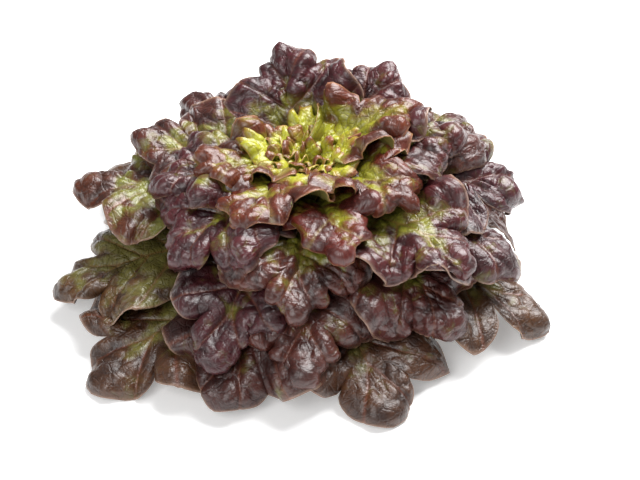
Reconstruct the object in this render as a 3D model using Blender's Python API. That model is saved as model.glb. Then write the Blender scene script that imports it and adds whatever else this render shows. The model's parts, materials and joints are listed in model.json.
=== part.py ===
"""Red oak leaf lettuce: an open head of lobed, ruffled leaves that grow out of a short cut stem.

The head stands on the stem's cut face, at the origin, with +Z up. Leaves are listed from the
outermost to the heart, and each one lies inside those before it. A leaf is a thin sheet: lines
fan out from its axis to the margin, and their lengths make the rounded lobes.
"""

import math
from dataclasses import dataclass

import bmesh
import bpy
import numpy as np
from mathutils import Vector
from mathutils.bvhtree import BVHTree

# Stem, in metres: a stump with a flat cut face that tapers up into the heart
CUT_RADIUS = 0.0165
STEM_WAIST_RADIUS = 0.0175
STEM_WAIST_HEIGHT = 0.012
STEM_TOP_RADIUS = 0.0050
STEM_TOP_HEIGHT = 0.046
CUT_EDGE = 0.0012
STEM_SIDES = 24
FIRST_FOOT_HEIGHT = 0.009
LAST_FOOT_HEIGHT = 0.043
FOOT_PLACES = 32
FOOT_GAP = 0.0010

# Heart: a slim core on top of the stem, with small leaves sunk into the lower of its places
CORE_HEIGHT = 0.024
CORE_TIP_RADIUS = 0.0028
CORE_GAP = 0.0003
HEART_SINK = 0.0016
HEART_PLACES = 7
HEART_FIRST_SHARE = 0.20
HEART_LAST_SHARE = 0.92
HEART_DRAWS = [132, 33, 34, 35, 236]

# Flank of the stem, then with the core on it, and with the room that large leaves leave the heart
ROOM_TOP_HEIGHT = 0.090
ROOM_TOP_RADIUS = 0.020
STEM_HEIGHTS = [0.0, STEM_WAIST_HEIGHT, STEM_TOP_HEIGHT]
STEM_RADII = [CUT_RADIUS, STEM_WAIST_RADIUS, STEM_TOP_RADIUS]
CORE_HEIGHTS = STEM_HEIGHTS + [STEM_TOP_HEIGHT + CORE_HEIGHT]
CORE_RADII = STEM_RADII + [CORE_TIP_RADIUS]
ROOM_HEIGHTS = STEM_HEIGHTS + [ROOM_TOP_HEIGHT]
ROOM_RADII = STEM_RADII + [ROOM_TOP_RADIUS]

# Blade's thickness, and the rib under its axis
BLADE_THICKNESS = 0.0010
RIB_THICKNESS = 0.0022
RIB_HALF_WIDTH = 0.0050
RIB_TAPER = 1.4
RIB_SPREAD = 0.040

# Leaf's axis: how far its ends run straight, as a share of their distance, and its sampling
AXIS_HANDLE = 0.42
AXIS_SAMPLES = 81

# Blade's outline, with places along the axis as shares of its length and angles in degrees
FOOT_SHARE = 0.23
WIDENS_FROM = 0.08
WIDENS_TO = 0.58
WIDEST_ANGLE = 62.0
TIP_FROM = 0.66
TIP_LOBE = 0.24
LOBES_START = 0.20
FAN_ANGLE = 78.0
FAN_CLOSING = 3.0
FAN_EASE = 0.7
FAN_DRAW = 9.0
FAN_STEPS = 30

# How many of the fan's rows there are from one notch to the next, by the lobes on each side
ROWS_EACH_LOBE = {1: 4, 2: 6}

# Lobes: depth of the notches as a share of the line, roundness, and the ranges of the draws
LOBE_DEPTH = 0.46
TIP_DEPTH = 0.65
LOBE_FLATNESS = 3.2
LOBE_SHOULDER = 0.5
LOBE_NARROWING = 3.0
LOBE_GROWS_OVER = 0.6
DEPTH_DRAW = (0.75, 1.2)
SIZE_DRAW = (0.84, 1.18)
BEND_DRAW = (-0.3, 1.4)

# Closing of the blade round the head, from 0 for a flat leaf to 1, at most this much per metre
WRAP = 0.9
MOST_WRAP = 130.0

# Ruffle of the margin, its height as a share of the leaf's width
RUFFLE = 0.075
RUFFLE_WAVES = 3.5

# Clearances between the middles of leaves, and above the surface that the head stands on
CLEAR = 0.0024
HEART_CLEAR = 0.0017
FLOOR_CLEAR = 0.0007

# Laying: how far a leaf looks for its neighbours, how far it moves in one sweep, how many sweeps
# there are, how much each move is evened out over the blade, and where the foot's hold ends
CAPTURE = 0.012
SEARCH = 0.030
MOST_LIFT = 0.006
LAY_SWEEPS = 24
LAST_SWEEPS = 5
EASE = 0.35
LAST_EASE = 0.05
HELD_TO = 0.02
FREE_FROM = 0.30


@dataclass(frozen=True)
class Leaf:
    """One leaf: where its foot points, where its tip ends, and how its blade is shaped."""

    name: str
    azimuth: float  # degrees round the stem from +X, the way the foot points
    reach: float  # from the stem's axis to the tip
    height: float  # of the tip above the cut face
    rise: float  # degrees above the horizon at the foot
    droop: float  # degrees above the horizon at the tip, below zero where it hangs
    width: float  # across the widest lobes
    sway: float = 0.0  # degrees round the stem from the foot to the tip
    tilt: float = 0.0  # degrees that the blade rolls about its axis
    curl: float = -60.0  # degrees that the lobes' ends bend, below zero towards the underside
    cup: float = 0.0  # degrees that each half of the blade closes, besides following the head
    lobes: int = 2  # lobes on each side, besides the one at the tip
    draw: int = 0  # which random draw sets the lobes' sizes and bends


def ring(prefix, rows):
    """Leaves named after their ring and numbered from one."""
    return [Leaf(f"{prefix}_{number:02d}", *row) for number, row in enumerate(rows, start=1)]


# azimuth, reach, height, rise, droop, width, sway, tilt, curl, cup, lobes, draw
GROUND_LEAVES = ring(
    "ground_leaf",
    [
        (226, 0.178, 0.004, 27, -20, 0.120, -3, 0, -35, 6, 2, 1),
        (284, 0.160, 0.004, 26, -26, 0.105, 5, 0, -40, 6, 2, 2),
        (254, 0.152, 0.006, 28, -28, 0.105, -5, 0, -40, 6, 2, 3),
        (332, 0.166, 0.010, 28, -22, 0.105, 4, 0, -40, 6, 2, 104),
        (198, 0.164, 0.018, 29, -18, 0.110, -2, 0, -35, 6, 2, 5),
        (22, 0.146, 0.018, 30, -18, 0.105, 4, 0, -40, 6, 2, 6),
        (152, 0.150, 0.020, 30, -18, 0.105, 0, 0, -40, 6, 2, 7),
        (64, 0.142, 0.018, 30, -18, 0.105, 0, 0, -40, 6, 2, 8),
        (108, 0.142, 0.020, 32, -18, 0.105, 0, 0, -40, 6, 2, 9),
    ],
)
OUTER_LEAVES = ring(
    "outer_leaf",
    [
        (270, 0.134, 0.016, 48, -62, 0.100, 0, 12, -80, 0, 2, 110),
        (240, 0.136, 0.016, 49, -62, 0.080, 6, -13, -75, 0, 2, 11),
        (308, 0.138, 0.026, 49, -52, 0.100, 5, 5, -80, 0, 2, 12),
        (340, 0.146, 0.042, 49, -36, 0.105, -3, -15, -75, 0, 2, 113),
        (175, 0.148, 0.052, 50, -8, 0.100, -3, 14, -40, 0, 2, 14),
        (7, 0.138, 0.058, 51, -20, 0.095, -8, 12, -80, 0, 2, 15),
        (32, 0.128, 0.060, 53, -16, 0.100, 3, 5, -75, 0, 2, 316),
        (128, 0.124, 0.066, 54, -8, 0.100, 3, -13, -70, 0, 2, 17),
        (80, 0.122, 0.068, 55, -8, 0.100, -4, 12, -70, 0, 2, 18),
    ],
)
MIDDLE_LEAVES = ring(
    "middle_leaf",
    [
        (264, 0.116, 0.048, 59, -60, 0.105, 3, -13, -80, 0, 2, 19),
        (318, 0.122, 0.050, 60, -50, 0.095, 2, 14, -80, 0, 2, 20),
        (222, 0.114, 0.062, 61, -48, 0.105, 0, 12, -80, 0, 2, 121),
        (156, 0.118, 0.074, 62, 10, 0.095, 3, -14, -35, 0, 2, 22),
        (190, 0.100, 0.078, 65, -24, 0.095, 2, 14, -75, 0, 2, 123),
        (8, 0.100, 0.082, 66, -32, 0.095, 4, -13, -80, 0, 2, 24),
        (52, 0.084, 0.112, 70, 25, 0.095, -2, 12, -50, 0, 2, 25),
        (100, 0.078, 0.120, 72, 38, 0.092, 2, -13, -45, 0, 2, 26),
    ],
)
INNER_LEAVES = ring(
    "inner_leaf",
    [
        (282, 0.094, 0.070, 73, -55, 0.074, 0, -6, -65, 0, 1, 127),
        (240, 0.084, 0.080, 74, -40, 0.070, 3, 6, -65, 0, 1, 28),
        (322, 0.086, 0.084, 75, -42, 0.074, 0, 6, -65, 0, 1, 229),
        (202, 0.074, 0.092, 77, -20, 0.066, 0, 0, -60, 0, 1, 130),
        (21, 0.074, 0.098, 78, -45, 0.074, 0, 0, -70, 0, 1, 331),
    ],
)


def heart_leaves():
    """Small leaves of the heart, set by the golden angle and steeper towards the centre."""
    golden_angle = 137.508
    made = []
    for number, draw in enumerate(HEART_DRAWS):
        share = number / (HEART_PLACES - 1)
        made.append(
            Leaf(
                name=f"heart_leaf_{number + 1:02d}",
                azimuth=(262 + number * golden_angle) % 360,
                reach=0.046 - 0.032 * share,
                height=0.098 - 0.006 * share,
                rise=66 + 18 * share,
                droop=-10 + 75 * share,
                width=0.044 - 0.026 * share,
                curl=-40,
                lobes=1,
                draw=draw,
            )
        )
    return made


HEART_LEAVES = heart_leaves()


def smooth_step(low, high, value):
    """0 below low, 1 above high and an eased rise between."""
    t = np.clip((value - low) / (high - low), 0.0, 1.0)
    return t * t * (3 - 2 * t)


def unit(vectors):
    """The vectors at length one."""
    return vectors / np.maximum(np.linalg.norm(vectors, axis=-1, keepdims=True), 1e-12)


def stem_radius(height):
    """Radius of the stem's or the core's flank at a height above the cut face."""
    return float(np.interp(height, CORE_HEIGHTS, CORE_RADII))


def direction(azimuth, lift):
    """The unit vector that points this way round the stem and this far above the horizon."""
    a, e = math.radians(azimuth), math.radians(lift)
    return np.array([math.cos(a) * math.cos(e), math.sin(a) * math.cos(e), math.sin(e)])


def axis_of(leaf, foot_height, foot_gap):
    """The leaf's axis as points with along, across and up directions, evenly spaced, and its length."""
    foot = direction(leaf.azimuth, 0) * (stem_radius(foot_height) + foot_gap)
    foot[2] = foot_height
    tip = direction(leaf.azimuth + leaf.sway, 0) * leaf.reach
    tip[2] = leaf.height
    handle = AXIS_HANDLE * np.linalg.norm(tip - foot)
    controls = [
        foot,
        foot + handle * direction(leaf.azimuth, leaf.rise),
        tip - handle * direction(leaf.azimuth + 2 * leaf.sway, leaf.droop),
        tip,
    ]
    share = np.linspace(0, 1, AXIS_SAMPLES)
    t = share[:, None]
    weights = [(1 - t) ** 3, 3 * t * (1 - t) ** 2, 3 * t**2 * (1 - t), t**3]
    curve = sum(weight * control for weight, control in zip(weights, controls))
    travelled = np.concatenate([[0], np.cumsum(np.linalg.norm(np.diff(curve, axis=0), axis=1))])
    length = travelled[-1]
    even = length * share
    points = np.stack([np.interp(even, travelled, curve[:, k]) for k in range(3)], axis=1)
    along = unit(np.gradient(points, axis=0))
    heading = np.radians(leaf.azimuth + 2 * leaf.sway * share)
    level = np.stack([-np.sin(heading), np.cos(heading), 0 * heading], axis=1)
    up = unit(np.cross(along, level))
    across = np.cross(up, along)
    roll = np.radians(leaf.tilt) * smooth_step(0, 1, t)
    return {
        "length": length,
        "points": points,
        "along": along,
        "across": across * np.cos(roll) + up * np.sin(roll),
        "up": up * np.cos(roll) - across * np.sin(roll),
    }


def along_axis(axis, key, distance):
    """A column of the axis read at distances from its foot, and straight on past its tip."""
    even = np.linspace(0, axis["length"], AXIS_SAMPLES)
    values = np.stack([np.interp(distance, even, axis[key][:, k]) for k in range(3)], axis=-1)
    if key == "points":
        past = np.maximum(distance - axis["length"], 0.0)[..., None]
        values = values + past * axis["along"][-1]
    return values


def row_places(leaf, rows_each_lobe):
    """Where the fan's rows leave the axis, from 0 at the foot to 1, and each row's place among the lobes."""
    lobe_rows = np.arange(0, (leaf.lobes + 0.5) * rows_each_lobe + 0.5) / rows_each_lobe
    foot_rows = np.linspace(0, LOBES_START, rows_each_lobe // 2 + 1)[:-1]
    places = LOBES_START + (1 - LOBES_START) * lobe_rows / (leaf.lobes + 0.5)
    places[-1] = 1.0
    return np.concatenate([foot_rows, places]), np.concatenate([0 * foot_rows, lobe_rows])


def line_lengths(leaf, axis, place, among, draw):
    """Length of each line of the fan, long in the middle of a lobe and short in a notch."""
    widest = 0.5 * leaf.width / math.sin(math.radians(WIDEST_ANGLE))
    foot = FOOT_SHARE * np.linalg.norm(axis["points"][0][:2])
    reach = foot + (widest - foot) * smooth_step(WIDENS_FROM, WIDENS_TO, place)
    to_tip = smooth_step(TIP_FROM, 1.0, place)
    reach = reach * (1 - to_tip) + TIP_LOBE * axis["length"] * to_tip
    grown = smooth_step(0.0, LOBE_GROWS_OVER, among)
    depth = LOBE_DEPTH * draw.uniform(*DEPTH_DRAW) * grown
    depth = depth * (1 - (1 - TIP_DEPTH) * smooth_step(leaf.lobes, leaf.lobes + 0.5, among))
    rounded = np.maximum(1 - np.abs(within_lobe(leaf, among)) ** LOBE_FLATNESS, 0.0)
    sizes = draw.uniform(*SIZE_DRAW, leaf.lobes + 1)
    sizes[-1] = 1.0
    size = 1 + (np.interp(among, lobe_centres(leaf), sizes) - 1) * grown
    return reach * (1 - depth * (1 - rounded**LOBE_SHOULDER)) * size


def lobe_centres(leaf):
    """The middle of each lobe, counted in lobes from the first one's start."""
    return np.arange(leaf.lobes + 1) + 0.5


def within_lobe(leaf, among):
    """Each row's place in its own lobe, from -1 to 1 with 0 in the middle and on the tip."""
    within = 2 * (among - np.floor(among)) - 1
    within[among >= leaf.lobes + 0.5] = 0
    return within


def half_blade(leaf, axis, side, draw, rows_each_lobe):
    """Points of one side of the blade, a row for each line of the fan from axis to margin."""
    place, among = row_places(leaf, rows_each_lobe)
    reach = line_lengths(leaf, axis, place, among, draw)
    bends = np.radians(leaf.curl * draw.uniform(*BEND_DRAW, leaf.lobes + 1))
    bends[-1] = math.radians(leaf.curl)
    bend = np.interp(among, lobe_centres(leaf), bends) * smooth_step(0.1, 0.5, place)
    turn = math.radians(FAN_ANGLE) * (1 - place**FAN_CLOSING) ** FAN_EASE
    turn = turn + math.radians(draw.uniform(-FAN_DRAW, FAN_DRAW)) * np.sin(math.pi * place)
    narrowing = np.sin(math.pi * within_lobe(leaf, among)) * smooth_step(0.0, LOBE_GROWS_OVER, among)
    narrowing = math.radians(LOBE_NARROWING) * narrowing
    wave = np.sin(2 * math.pi * RUFFLE_WAVES * place + draw.uniform(0, 2 * math.pi))
    wave = wave * RUFFLE * leaf.width * smooth_step(0.15, 0.45, place) * (1 - place**8)
    x = place * (1 - TIP_LOBE) * axis["length"]
    y, h = 0 * x, 0 * x
    lines = [np.stack([x, y, h], axis=-1)]
    for step in range(FAN_STEPS):
        out = (step + 0.5) / FAN_STEPS
        lean = bend * smooth_step(0.3, 1.0, out)
        heading = turn + narrowing * out
        x = x + np.cos(lean) * np.cos(heading) * reach / FAN_STEPS
        y = y + np.cos(lean) * np.sin(heading) * reach / FAN_STEPS
        h = h + np.sin(lean) * reach / FAN_STEPS
        ruffled = h + wave * ((step + 1) / FAN_STEPS) ** 2
        lines.append(np.stack([x, side * y, ruffled], axis=-1))
    return wrapped(leaf, axis, np.stack(lines, axis=1))


def wrapped(leaf, axis, flat):
    """Points of the flat blade, as along, across and up, laid along the curved and cupped axis."""
    x, y, h = flat[..., 0], flat[..., 1], flat[..., 2]
    share = np.clip(x / axis["length"], 0, 1)
    spine = along_axis(axis, "points", x)
    round_stem = along_axis(axis, "along", x)[..., 2] / np.linalg.norm(spine[..., :2], axis=-1)
    round_stem = np.clip(WRAP * round_stem, -MOST_WRAP, MOST_WRAP)
    closing = round_stem + math.radians(leaf.cup) / (0.5 * leaf.width) * smooth_step(0.1, 0.5, share)
    closing = np.where(np.abs(closing) < 0.01, 0.01, closing)
    angle = closing * y
    sideways = np.where(np.abs(angle) < 1e-6, y, np.sin(angle) / closing)[..., None]
    raised = ((1 - np.cos(angle)) / closing)[..., None]
    across, up = along_axis(axis, "across", x), along_axis(axis, "up", x)
    spot = spine + sideways * across + raised * up
    face_up = np.cos(angle)[..., None] * up - np.sin(angle)[..., None] * across
    return spot + h[..., None] * face_up, face_up


class Sheet:
    """A leaf's middle surface as points and triangles, with what its solid needs."""

    def __init__(self, leaf, foot_height, foot_gap, columns=3):
        rows_each_lobe = ROWS_EACH_LOBE[leaf.lobes]
        self.leaf = leaf
        axis = axis_of(leaf, foot_height, foot_gap)
        draw = np.random.default_rng(leaf.draw)
        steps = FAN_STEPS // columns
        left, left_up = half_blade(leaf, axis, 1, draw, rows_each_lobe)
        right, right_up = half_blade(leaf, axis, -1, draw, rows_each_lobe)
        left[-1] = right[-1] = 0.5 * (left[-1] + right[-1])
        left, right, left_up, right_up = (s[:, ::steps] for s in (left, right, left_up, right_up))
        place, _ = row_places(leaf, rows_each_lobe)
        rows = len(place)
        width = 2 * columns + 1
        index = np.arange(rows * width).reshape(rows, width)
        index[-1, columns + 1 :] = index[-1, columns - 1 :: -1]
        used = np.unique(index)
        grid = np.concatenate([left[:, :0:-1], right], axis=1)
        self.rest = grid.reshape(-1, 3)[used]
        self.lift = np.concatenate([left_up[:, :0:-1], right_up], axis=1).reshape(-1, 3)[used]
        self.index = np.searchsorted(used, index)
        self.points = self.rest.copy()
        self.triangles = self.fan_triangles(columns)
        self.edge = self.rim()
        outward = np.abs(np.arange(width) - columns) / columns
        foot = np.linalg.norm(axis["points"][0][:2])
        line = FOOT_SHARE * foot + RIB_SPREAD * place[:, None]
        rib = RIB_THICKNESS * min(1.0, foot / CUT_RADIUS) * (1 - place[:, None]) ** RIB_TAPER
        rib = rib * np.exp(-((outward * line / RIB_HALF_WIDTH) ** 2))
        self.rib = rib.reshape(-1)[used]
        hold = np.repeat(smooth_step(HELD_TO, FREE_FROM, place)[:, None], width, axis=1)
        self.free = hold.reshape(-1)[used]
        self.neighbours = self.averaging()

    def fan_triangles(self, columns):
        """Both sides of the fan as triangles. They meet in the last row, which is split away from it."""
        found = []
        for row, (low, high) in enumerate(zip(self.index[:-1], self.index[1:])):
            meeting = row == len(self.index) - 2
            for k in range(2 * columns):
                a, b, c, d = low[k], low[k + 1], high[k + 1], high[k]
                outwards = (k >= columns) != meeting
                halves = ((a, b, c), (a, c, d)) if outwards else ((a, b, d), (b, c, d))
                found += [face for face in halves if len(set(face)) == 3]
        return np.array(found)

    def rim(self):
        """The sheet's outer edge in order round it, as point numbers."""
        foot = list(self.index[0])
        up_right = list(self.index[1:, -1])
        down_left = list(self.index[-2:0:-1, 0])
        return foot + up_right + down_left

    def averaging(self):
        """A matrix that gives each point the mean of its neighbours."""
        near = np.zeros((len(self.rest), len(self.rest)))
        for a, b, c in self.triangles:
            near[a, b] = near[b, c] = near[c, a] = near[b, a] = near[c, b] = near[a, c] = 1
        return near / near.sum(axis=1, keepdims=True)

    def normals(self):
        """The upper face's direction at each point."""
        a, b, c = (self.points[self.triangles[:, k]] for k in range(3))
        flat = np.cross(b - a, c - a)
        total = np.zeros_like(self.points)
        for k in range(3):
            np.add.at(total, self.triangles[:, k], flat)
        return unit(total)

    def mixing(self):
        """A matrix that gives the sheet's points, then its edges' middles, then its faces' middles."""
        corners = self.triangles
        edges = np.concatenate([corners[:, [0, 1]], corners[:, [1, 2]], corners[:, [2, 0]]])
        edges = np.unique(np.sort(edges, axis=1), axis=0)
        count = len(self.rest)
        mix = np.zeros((count + len(edges) + len(corners), count))
        mix[np.arange(count), np.arange(count)] = 1
        for k in range(2):
            mix[count + np.arange(len(edges)), edges[:, k]] = 1 / 2
        for k in range(3):
            mix[count + len(edges) + np.arange(len(corners)), corners[:, k]] = 1 / 3
        return mix


def all_sheets():
    """Every leaf's sheet, from the outermost to the centre of the heart."""
    big = GROUND_LEAVES + OUTER_LEAVES + MIDDLE_LEAVES + INNER_LEAVES
    sheets = []
    for number, leaf in enumerate(big):
        share = number / (FOOT_PLACES - 1)
        height = FIRST_FOOT_HEIGHT + (LAST_FOOT_HEIGHT - FIRST_FOOT_HEIGHT) * share
        sheets.append(Sheet(leaf, height, FOOT_GAP))
    for number, leaf in enumerate(HEART_LEAVES):
        share = number / HEART_PLACES
        share = HEART_FIRST_SHARE + (HEART_LAST_SHARE - HEART_FIRST_SHARE) * share
        height = STEM_TOP_HEIGHT + CORE_HEIGHT * share
        sheets.append(Sheet(leaf, height, -HEART_SINK, columns=2))
    return sheets


class Pile:
    """The leaves laid so far as one surface, to find what a new leaf has to clear."""

    def __init__(self, sheets):
        points, faces, normals, at = [], [], [], 0
        for sheet in sheets:
            points.append(sheet.points)
            normals.append(sheet.normals())
            faces.append(sheet.triangles + at)
            at += len(sheet.points)
        points, faces, normals = (np.concatenate(parts) for parts in (points, faces, normals))
        self.tree = BVHTree.FromPolygons(points.tolist(), faces.tolist())
        edges = np.concatenate([faces[:, [0, 1]], faces[:, [1, 2]], faces[:, [2, 0]]])
        edges = np.unique(np.sort(edges, axis=1), axis=0)
        self.spots = np.concatenate([points, points[edges].mean(axis=1), points[faces].mean(axis=1)])
        middles = [normals[edges].mean(axis=1), normals[faces].mean(axis=1)]
        self.normals = unit(np.concatenate([normals] + middles))

    def lift_over(self, spots, ways, needs):
        """How far each spot must go its way to lie clear of the upper faces of the pile."""
        lifts = np.zeros(len(spots))
        radii = np.linalg.norm(spots[:, :2], axis=1)
        inward = -(spots[:, :2] * ways[:, :2]).sum(axis=1) / radii
        rooms = np.minimum(SEARCH, 0.9 * radii / np.maximum(inward, 0.05))
        for number, (spot, way, need, room) in enumerate(zip(spots, ways, needs, rooms)):
            way = Vector(way)
            start = Vector(spot) + way * room
            left = room + 2 * need
            for _ in range(4):
                found, normal, _, distance = self.tree.ray_cast(start, -way, left)
                if found is None:
                    break
                if normal.dot(way) > 0.4:
                    lean = max(normal.dot(way), 0.5)
                    lifts[number] = (found - Vector(spot)).dot(way) + need / lean
                    break
                start = found - 1e-5 * way
                left -= distance + 1e-5
        return np.maximum(lifts, 0)[:, None] * ways

    def poke(self, sheet, need):
        """How far each corner of the sheet must go for the pile's points to lie clear of its faces."""
        push = np.zeros_like(sheet.points)
        most = np.zeros(len(sheet.points))
        low, high = sheet.points.min(axis=0) - CAPTURE, sheet.points.max(axis=0) + CAPTURE
        near = ((self.spots > low) & (self.spots < high)).all(axis=1)
        tree = BVHTree.FromPolygons(sheet.points.tolist(), sheet.triangles.tolist())
        for spot, upper in zip(self.spots[near], self.normals[near]):
            spot = Vector(spot)
            found, normal, face, distance = tree.find_nearest(spot, CAPTURE)
            if found is None or not sheet.free[sheet.triangles[face]].all():
                continue
            offset = found - spot
            room = need + sheet.rib[sheet.triangles[face]].mean()
            side = offset.dot(Vector(upper))
            if abs(offset.dot(normal)) > 0.8 * distance and side < -0.4 * distance:
                lack, way = room - side, upper
            else:
                lack, way = room - distance, np.array(offset.normalized())
            for corner in sheet.triangles[face]:
                if lack > most[corner]:
                    most[corner] = lack
                    push[corner] = lack * way
        return push


def off_stem(points, heights, radii):
    """How far each point must go outwards to stand off the round body in the middle."""
    out = np.linalg.norm(points[:, :2], axis=1)
    flank = np.interp(points[:, 2], heights, radii, right=0.0)
    lack = np.clip(flank + 0.5 * CLEAR - out, 0, MOST_LIFT)
    outward = points / np.maximum(out, 1e-6)[:, None]
    outward[:, 2] = 0
    return lack[:, None] * outward


def lay(sheet, laid, body, clear):
    """Bends one leaf until it lies on the inner side of those laid before it, and above the floor.

    Body is the heights and radii of the round body in the middle that the leaf stays off.
    """
    pile = Pile(laid) if laid else None
    mixing = sheet.mixing()
    ways = unit(mixing @ sheet.lift)
    ribs = mixing @ sheet.rib
    blade = (mixing[:, sheet.free == 0] == 0).all(axis=1)
    moved = np.zeros_like(sheet.rest)
    for sweep in range(LAY_SWEEPS):
        last = sweep >= LAY_SWEEPS - LAST_SWEEPS
        push = np.zeros_like(sheet.rest)
        most = np.zeros(len(sheet.rest))
        if pile:
            over = pile.lift_over(mixing @ sheet.points, ways, clear + ribs)
            size = np.linalg.norm(over, axis=1) * blade
            for sample in np.flatnonzero(size):
                for corner in np.flatnonzero(mixing[sample]):
                    if size[sample] > most[corner]:
                        most[corner] = size[sample]
                        push[corner] = over[sample]
            if sweep % 3 == 2 or last:
                poked = pile.poke(sheet, clear)
                larger = np.linalg.norm(poked, axis=1) > most
                push[larger] = poked[larger]
        size = np.linalg.norm(push, axis=1)
        push *= np.minimum(1, MOST_LIFT / np.maximum(size, 1e-9))[:, None]
        moved = moved + push
        moved = moved + off_stem(sheet.rest + moved, *body)
        moved[:, 2] += np.maximum(FLOOR_CLEAR + sheet.rib - (sheet.rest + moved)[:, 2], 0)
        ease = LAST_EASE if last else EASE
        moved = moved + ease * (sheet.neighbours @ moved - moved)
        moved = moved * sheet.free[:, None]
        sheet.points = sheet.rest + moved


def lay_all(sheets):
    """Lays the leaves in their order, from the outermost on."""
    for number, sheet in enumerate(sheets):
        if sheet.leaf in HEART_LEAVES:
            lay(sheet, sheets[:number], (CORE_HEIGHTS, CORE_RADII), HEART_CLEAR)
        else:
            lay(sheet, sheets[:number], (ROOM_HEIGHTS, ROOM_RADII), CLEAR)


def leaf_solid(sheet):
    """Points and triangles of the sheet as a closed thin solid, with its rib under it."""
    normals = sheet.normals()
    half = 0.5 * BLADE_THICKNESS
    upper = sheet.points + half * normals
    lower = sheet.points - (half + sheet.rib[:, None]) * normals
    count = len(sheet.points)
    faces = sheet.triangles.tolist()
    faces += [(a + count, c + count, b + count) for a, b, c in sheet.triangles.tolist()]
    for a, b in zip(sheet.edge, sheet.edge[1:] + sheet.edge[:1]):
        faces.append((a, a + count, b + count))
        faces.append((a, b + count, b))
    return np.concatenate([upper, lower]), np.array(faces)


def leaf_mesh(sheet):
    """The leaf's solid as a smooth shaded mesh."""
    points, faces = leaf_solid(sheet)
    mesh = bpy.data.meshes.new(sheet.leaf.name)
    mesh.from_pydata(points.tolist(), [], faces.tolist())
    mesh.shade_smooth()
    mesh.set_sharp_from_angle(angle=math.radians(60))
    return mesh


def turned(name, outline):
    """A closed mesh turned round the vertical axis from radii and heights, lowest first."""
    shape = bmesh.new()
    turns = [2 * math.pi * k / STEM_SIDES for k in range(STEM_SIDES)]
    rings = [
        [shape.verts.new((radius * math.cos(a), radius * math.sin(a), height)) for a in turns]
        for radius, height in outline
    ]
    for low, high in zip(rings, rings[1:]):
        for k in range(STEM_SIDES):
            following = (k + 1) % STEM_SIDES
            shape.faces.new((low[k], low[following], high[following], high[k]))
    shape.faces.new(list(reversed(rings[0])))
    shape.faces.new(rings[-1])
    mesh = bpy.data.meshes.new(name)
    shape.to_mesh(mesh)
    shape.free()
    mesh.shade_smooth()
    mesh.set_sharp_from_angle(angle=math.radians(40))
    return mesh


def material(name, colour, roughness):
    """A plain finish with this base colour and roughness."""
    made = bpy.data.materials.new(name)
    made.use_nodes = True
    shader = made.node_tree.nodes["Principled BSDF"]
    shader.inputs["Base Color"].default_value = (*colour, 1.0)
    shader.inputs["Roughness"].default_value = roughness
    shader.inputs["Metallic"].default_value = 0.0
    return made


def placed(name, mesh, finish):
    """An object of the scene with this mesh and finish."""
    made = bpy.data.objects.new(name, mesh)
    mesh.materials.clear()
    mesh.materials.append(finish)
    bpy.context.scene.collection.objects.link(made)
    return made


def heart_object(sheets, finish):
    """The heart's core and small leaves as one body."""
    foot = STEM_TOP_HEIGHT + CORE_GAP
    middle = 0.5 * (foot + STEM_TOP_HEIGHT + CORE_HEIGHT)
    outline = [
        (stem_radius(foot), foot),
        (stem_radius(middle), middle),
        (CORE_TIP_RADIUS, STEM_TOP_HEIGHT + CORE_HEIGHT),
    ]
    heart = placed("heart", turned("heart", outline), finish)
    leaves = bpy.data.collections.new("heart_leaves")
    bpy.context.scene.collection.children.link(leaves)
    for sheet in sheets:
        leaves.objects.link(bpy.data.objects.new(sheet.leaf.name, leaf_mesh(sheet)))
    joining = heart.modifiers.new("join_leaves", "BOOLEAN")
    joining.operation = "UNION"
    joining.operand_type = "COLLECTION"
    joining.collection = leaves
    joining.solver = "EXACT"
    bpy.context.view_layer.update()
    graph = bpy.context.evaluated_depsgraph_get()
    joined = bpy.data.meshes.new_from_object(heart.evaluated_get(graph))
    heart.modifiers.clear()
    heart.data = joined
    joined.materials.clear()
    joined.materials.append(finish)
    for leaf in list(leaves.objects):
        bpy.data.objects.remove(leaf)
    bpy.data.collections.remove(leaves)
    return heart


def main():
    """Builds the head from its stem outwards."""
    for old in list(bpy.data.objects):
        bpy.data.objects.remove(old)
    finishes = {
        "ground": material("ground_leaf", (0.105, 0.060, 0.035), 0.42),
        "outer": material("outer_leaf", (0.060, 0.022, 0.026), 0.36),
        "middle": material("middle_leaf", (0.075, 0.024, 0.034), 0.36),
        "inner": material("inner_leaf", (0.190, 0.130, 0.035), 0.38),
        "heart": material("heart", (0.420, 0.520, 0.060), 0.42),
        "stem": material("stem", (0.640, 0.640, 0.430), 0.50),
    }
    outline = [
        (CUT_RADIUS - CUT_EDGE, 0.0),
        (CUT_RADIUS, CUT_EDGE),
        (STEM_WAIST_RADIUS, STEM_WAIST_HEIGHT),
        (STEM_TOP_RADIUS, STEM_TOP_HEIGHT),
    ]
    placed("stem", turned("stem", outline), finishes["stem"])
    sheets = all_sheets()
    lay_all(sheets)
    for sheet in sheets:
        if sheet.leaf not in HEART_LEAVES:
            kind = sheet.leaf.name.split("_")[0]
            placed(sheet.leaf.name, leaf_mesh(sheet), finishes[kind])
    heart_object([sheet for sheet in sheets if sheet.leaf in HEART_LEAVES], finishes["heart"])


if __name__ == "__main__":
    main()
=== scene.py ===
"""Red oak leaf lettuce: blistered leaves, crinkled heart and cut stem on a pale floor.

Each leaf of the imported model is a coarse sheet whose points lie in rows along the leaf's axis.
Those points are read back from the model. The same leaf is then drawn with many more rows and
lines, bent the way the coarse one was, and given its veins, blisters and waved margin.
"""

import json
import logging
import math
from dataclasses import dataclass, field
from enum import Enum

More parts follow.
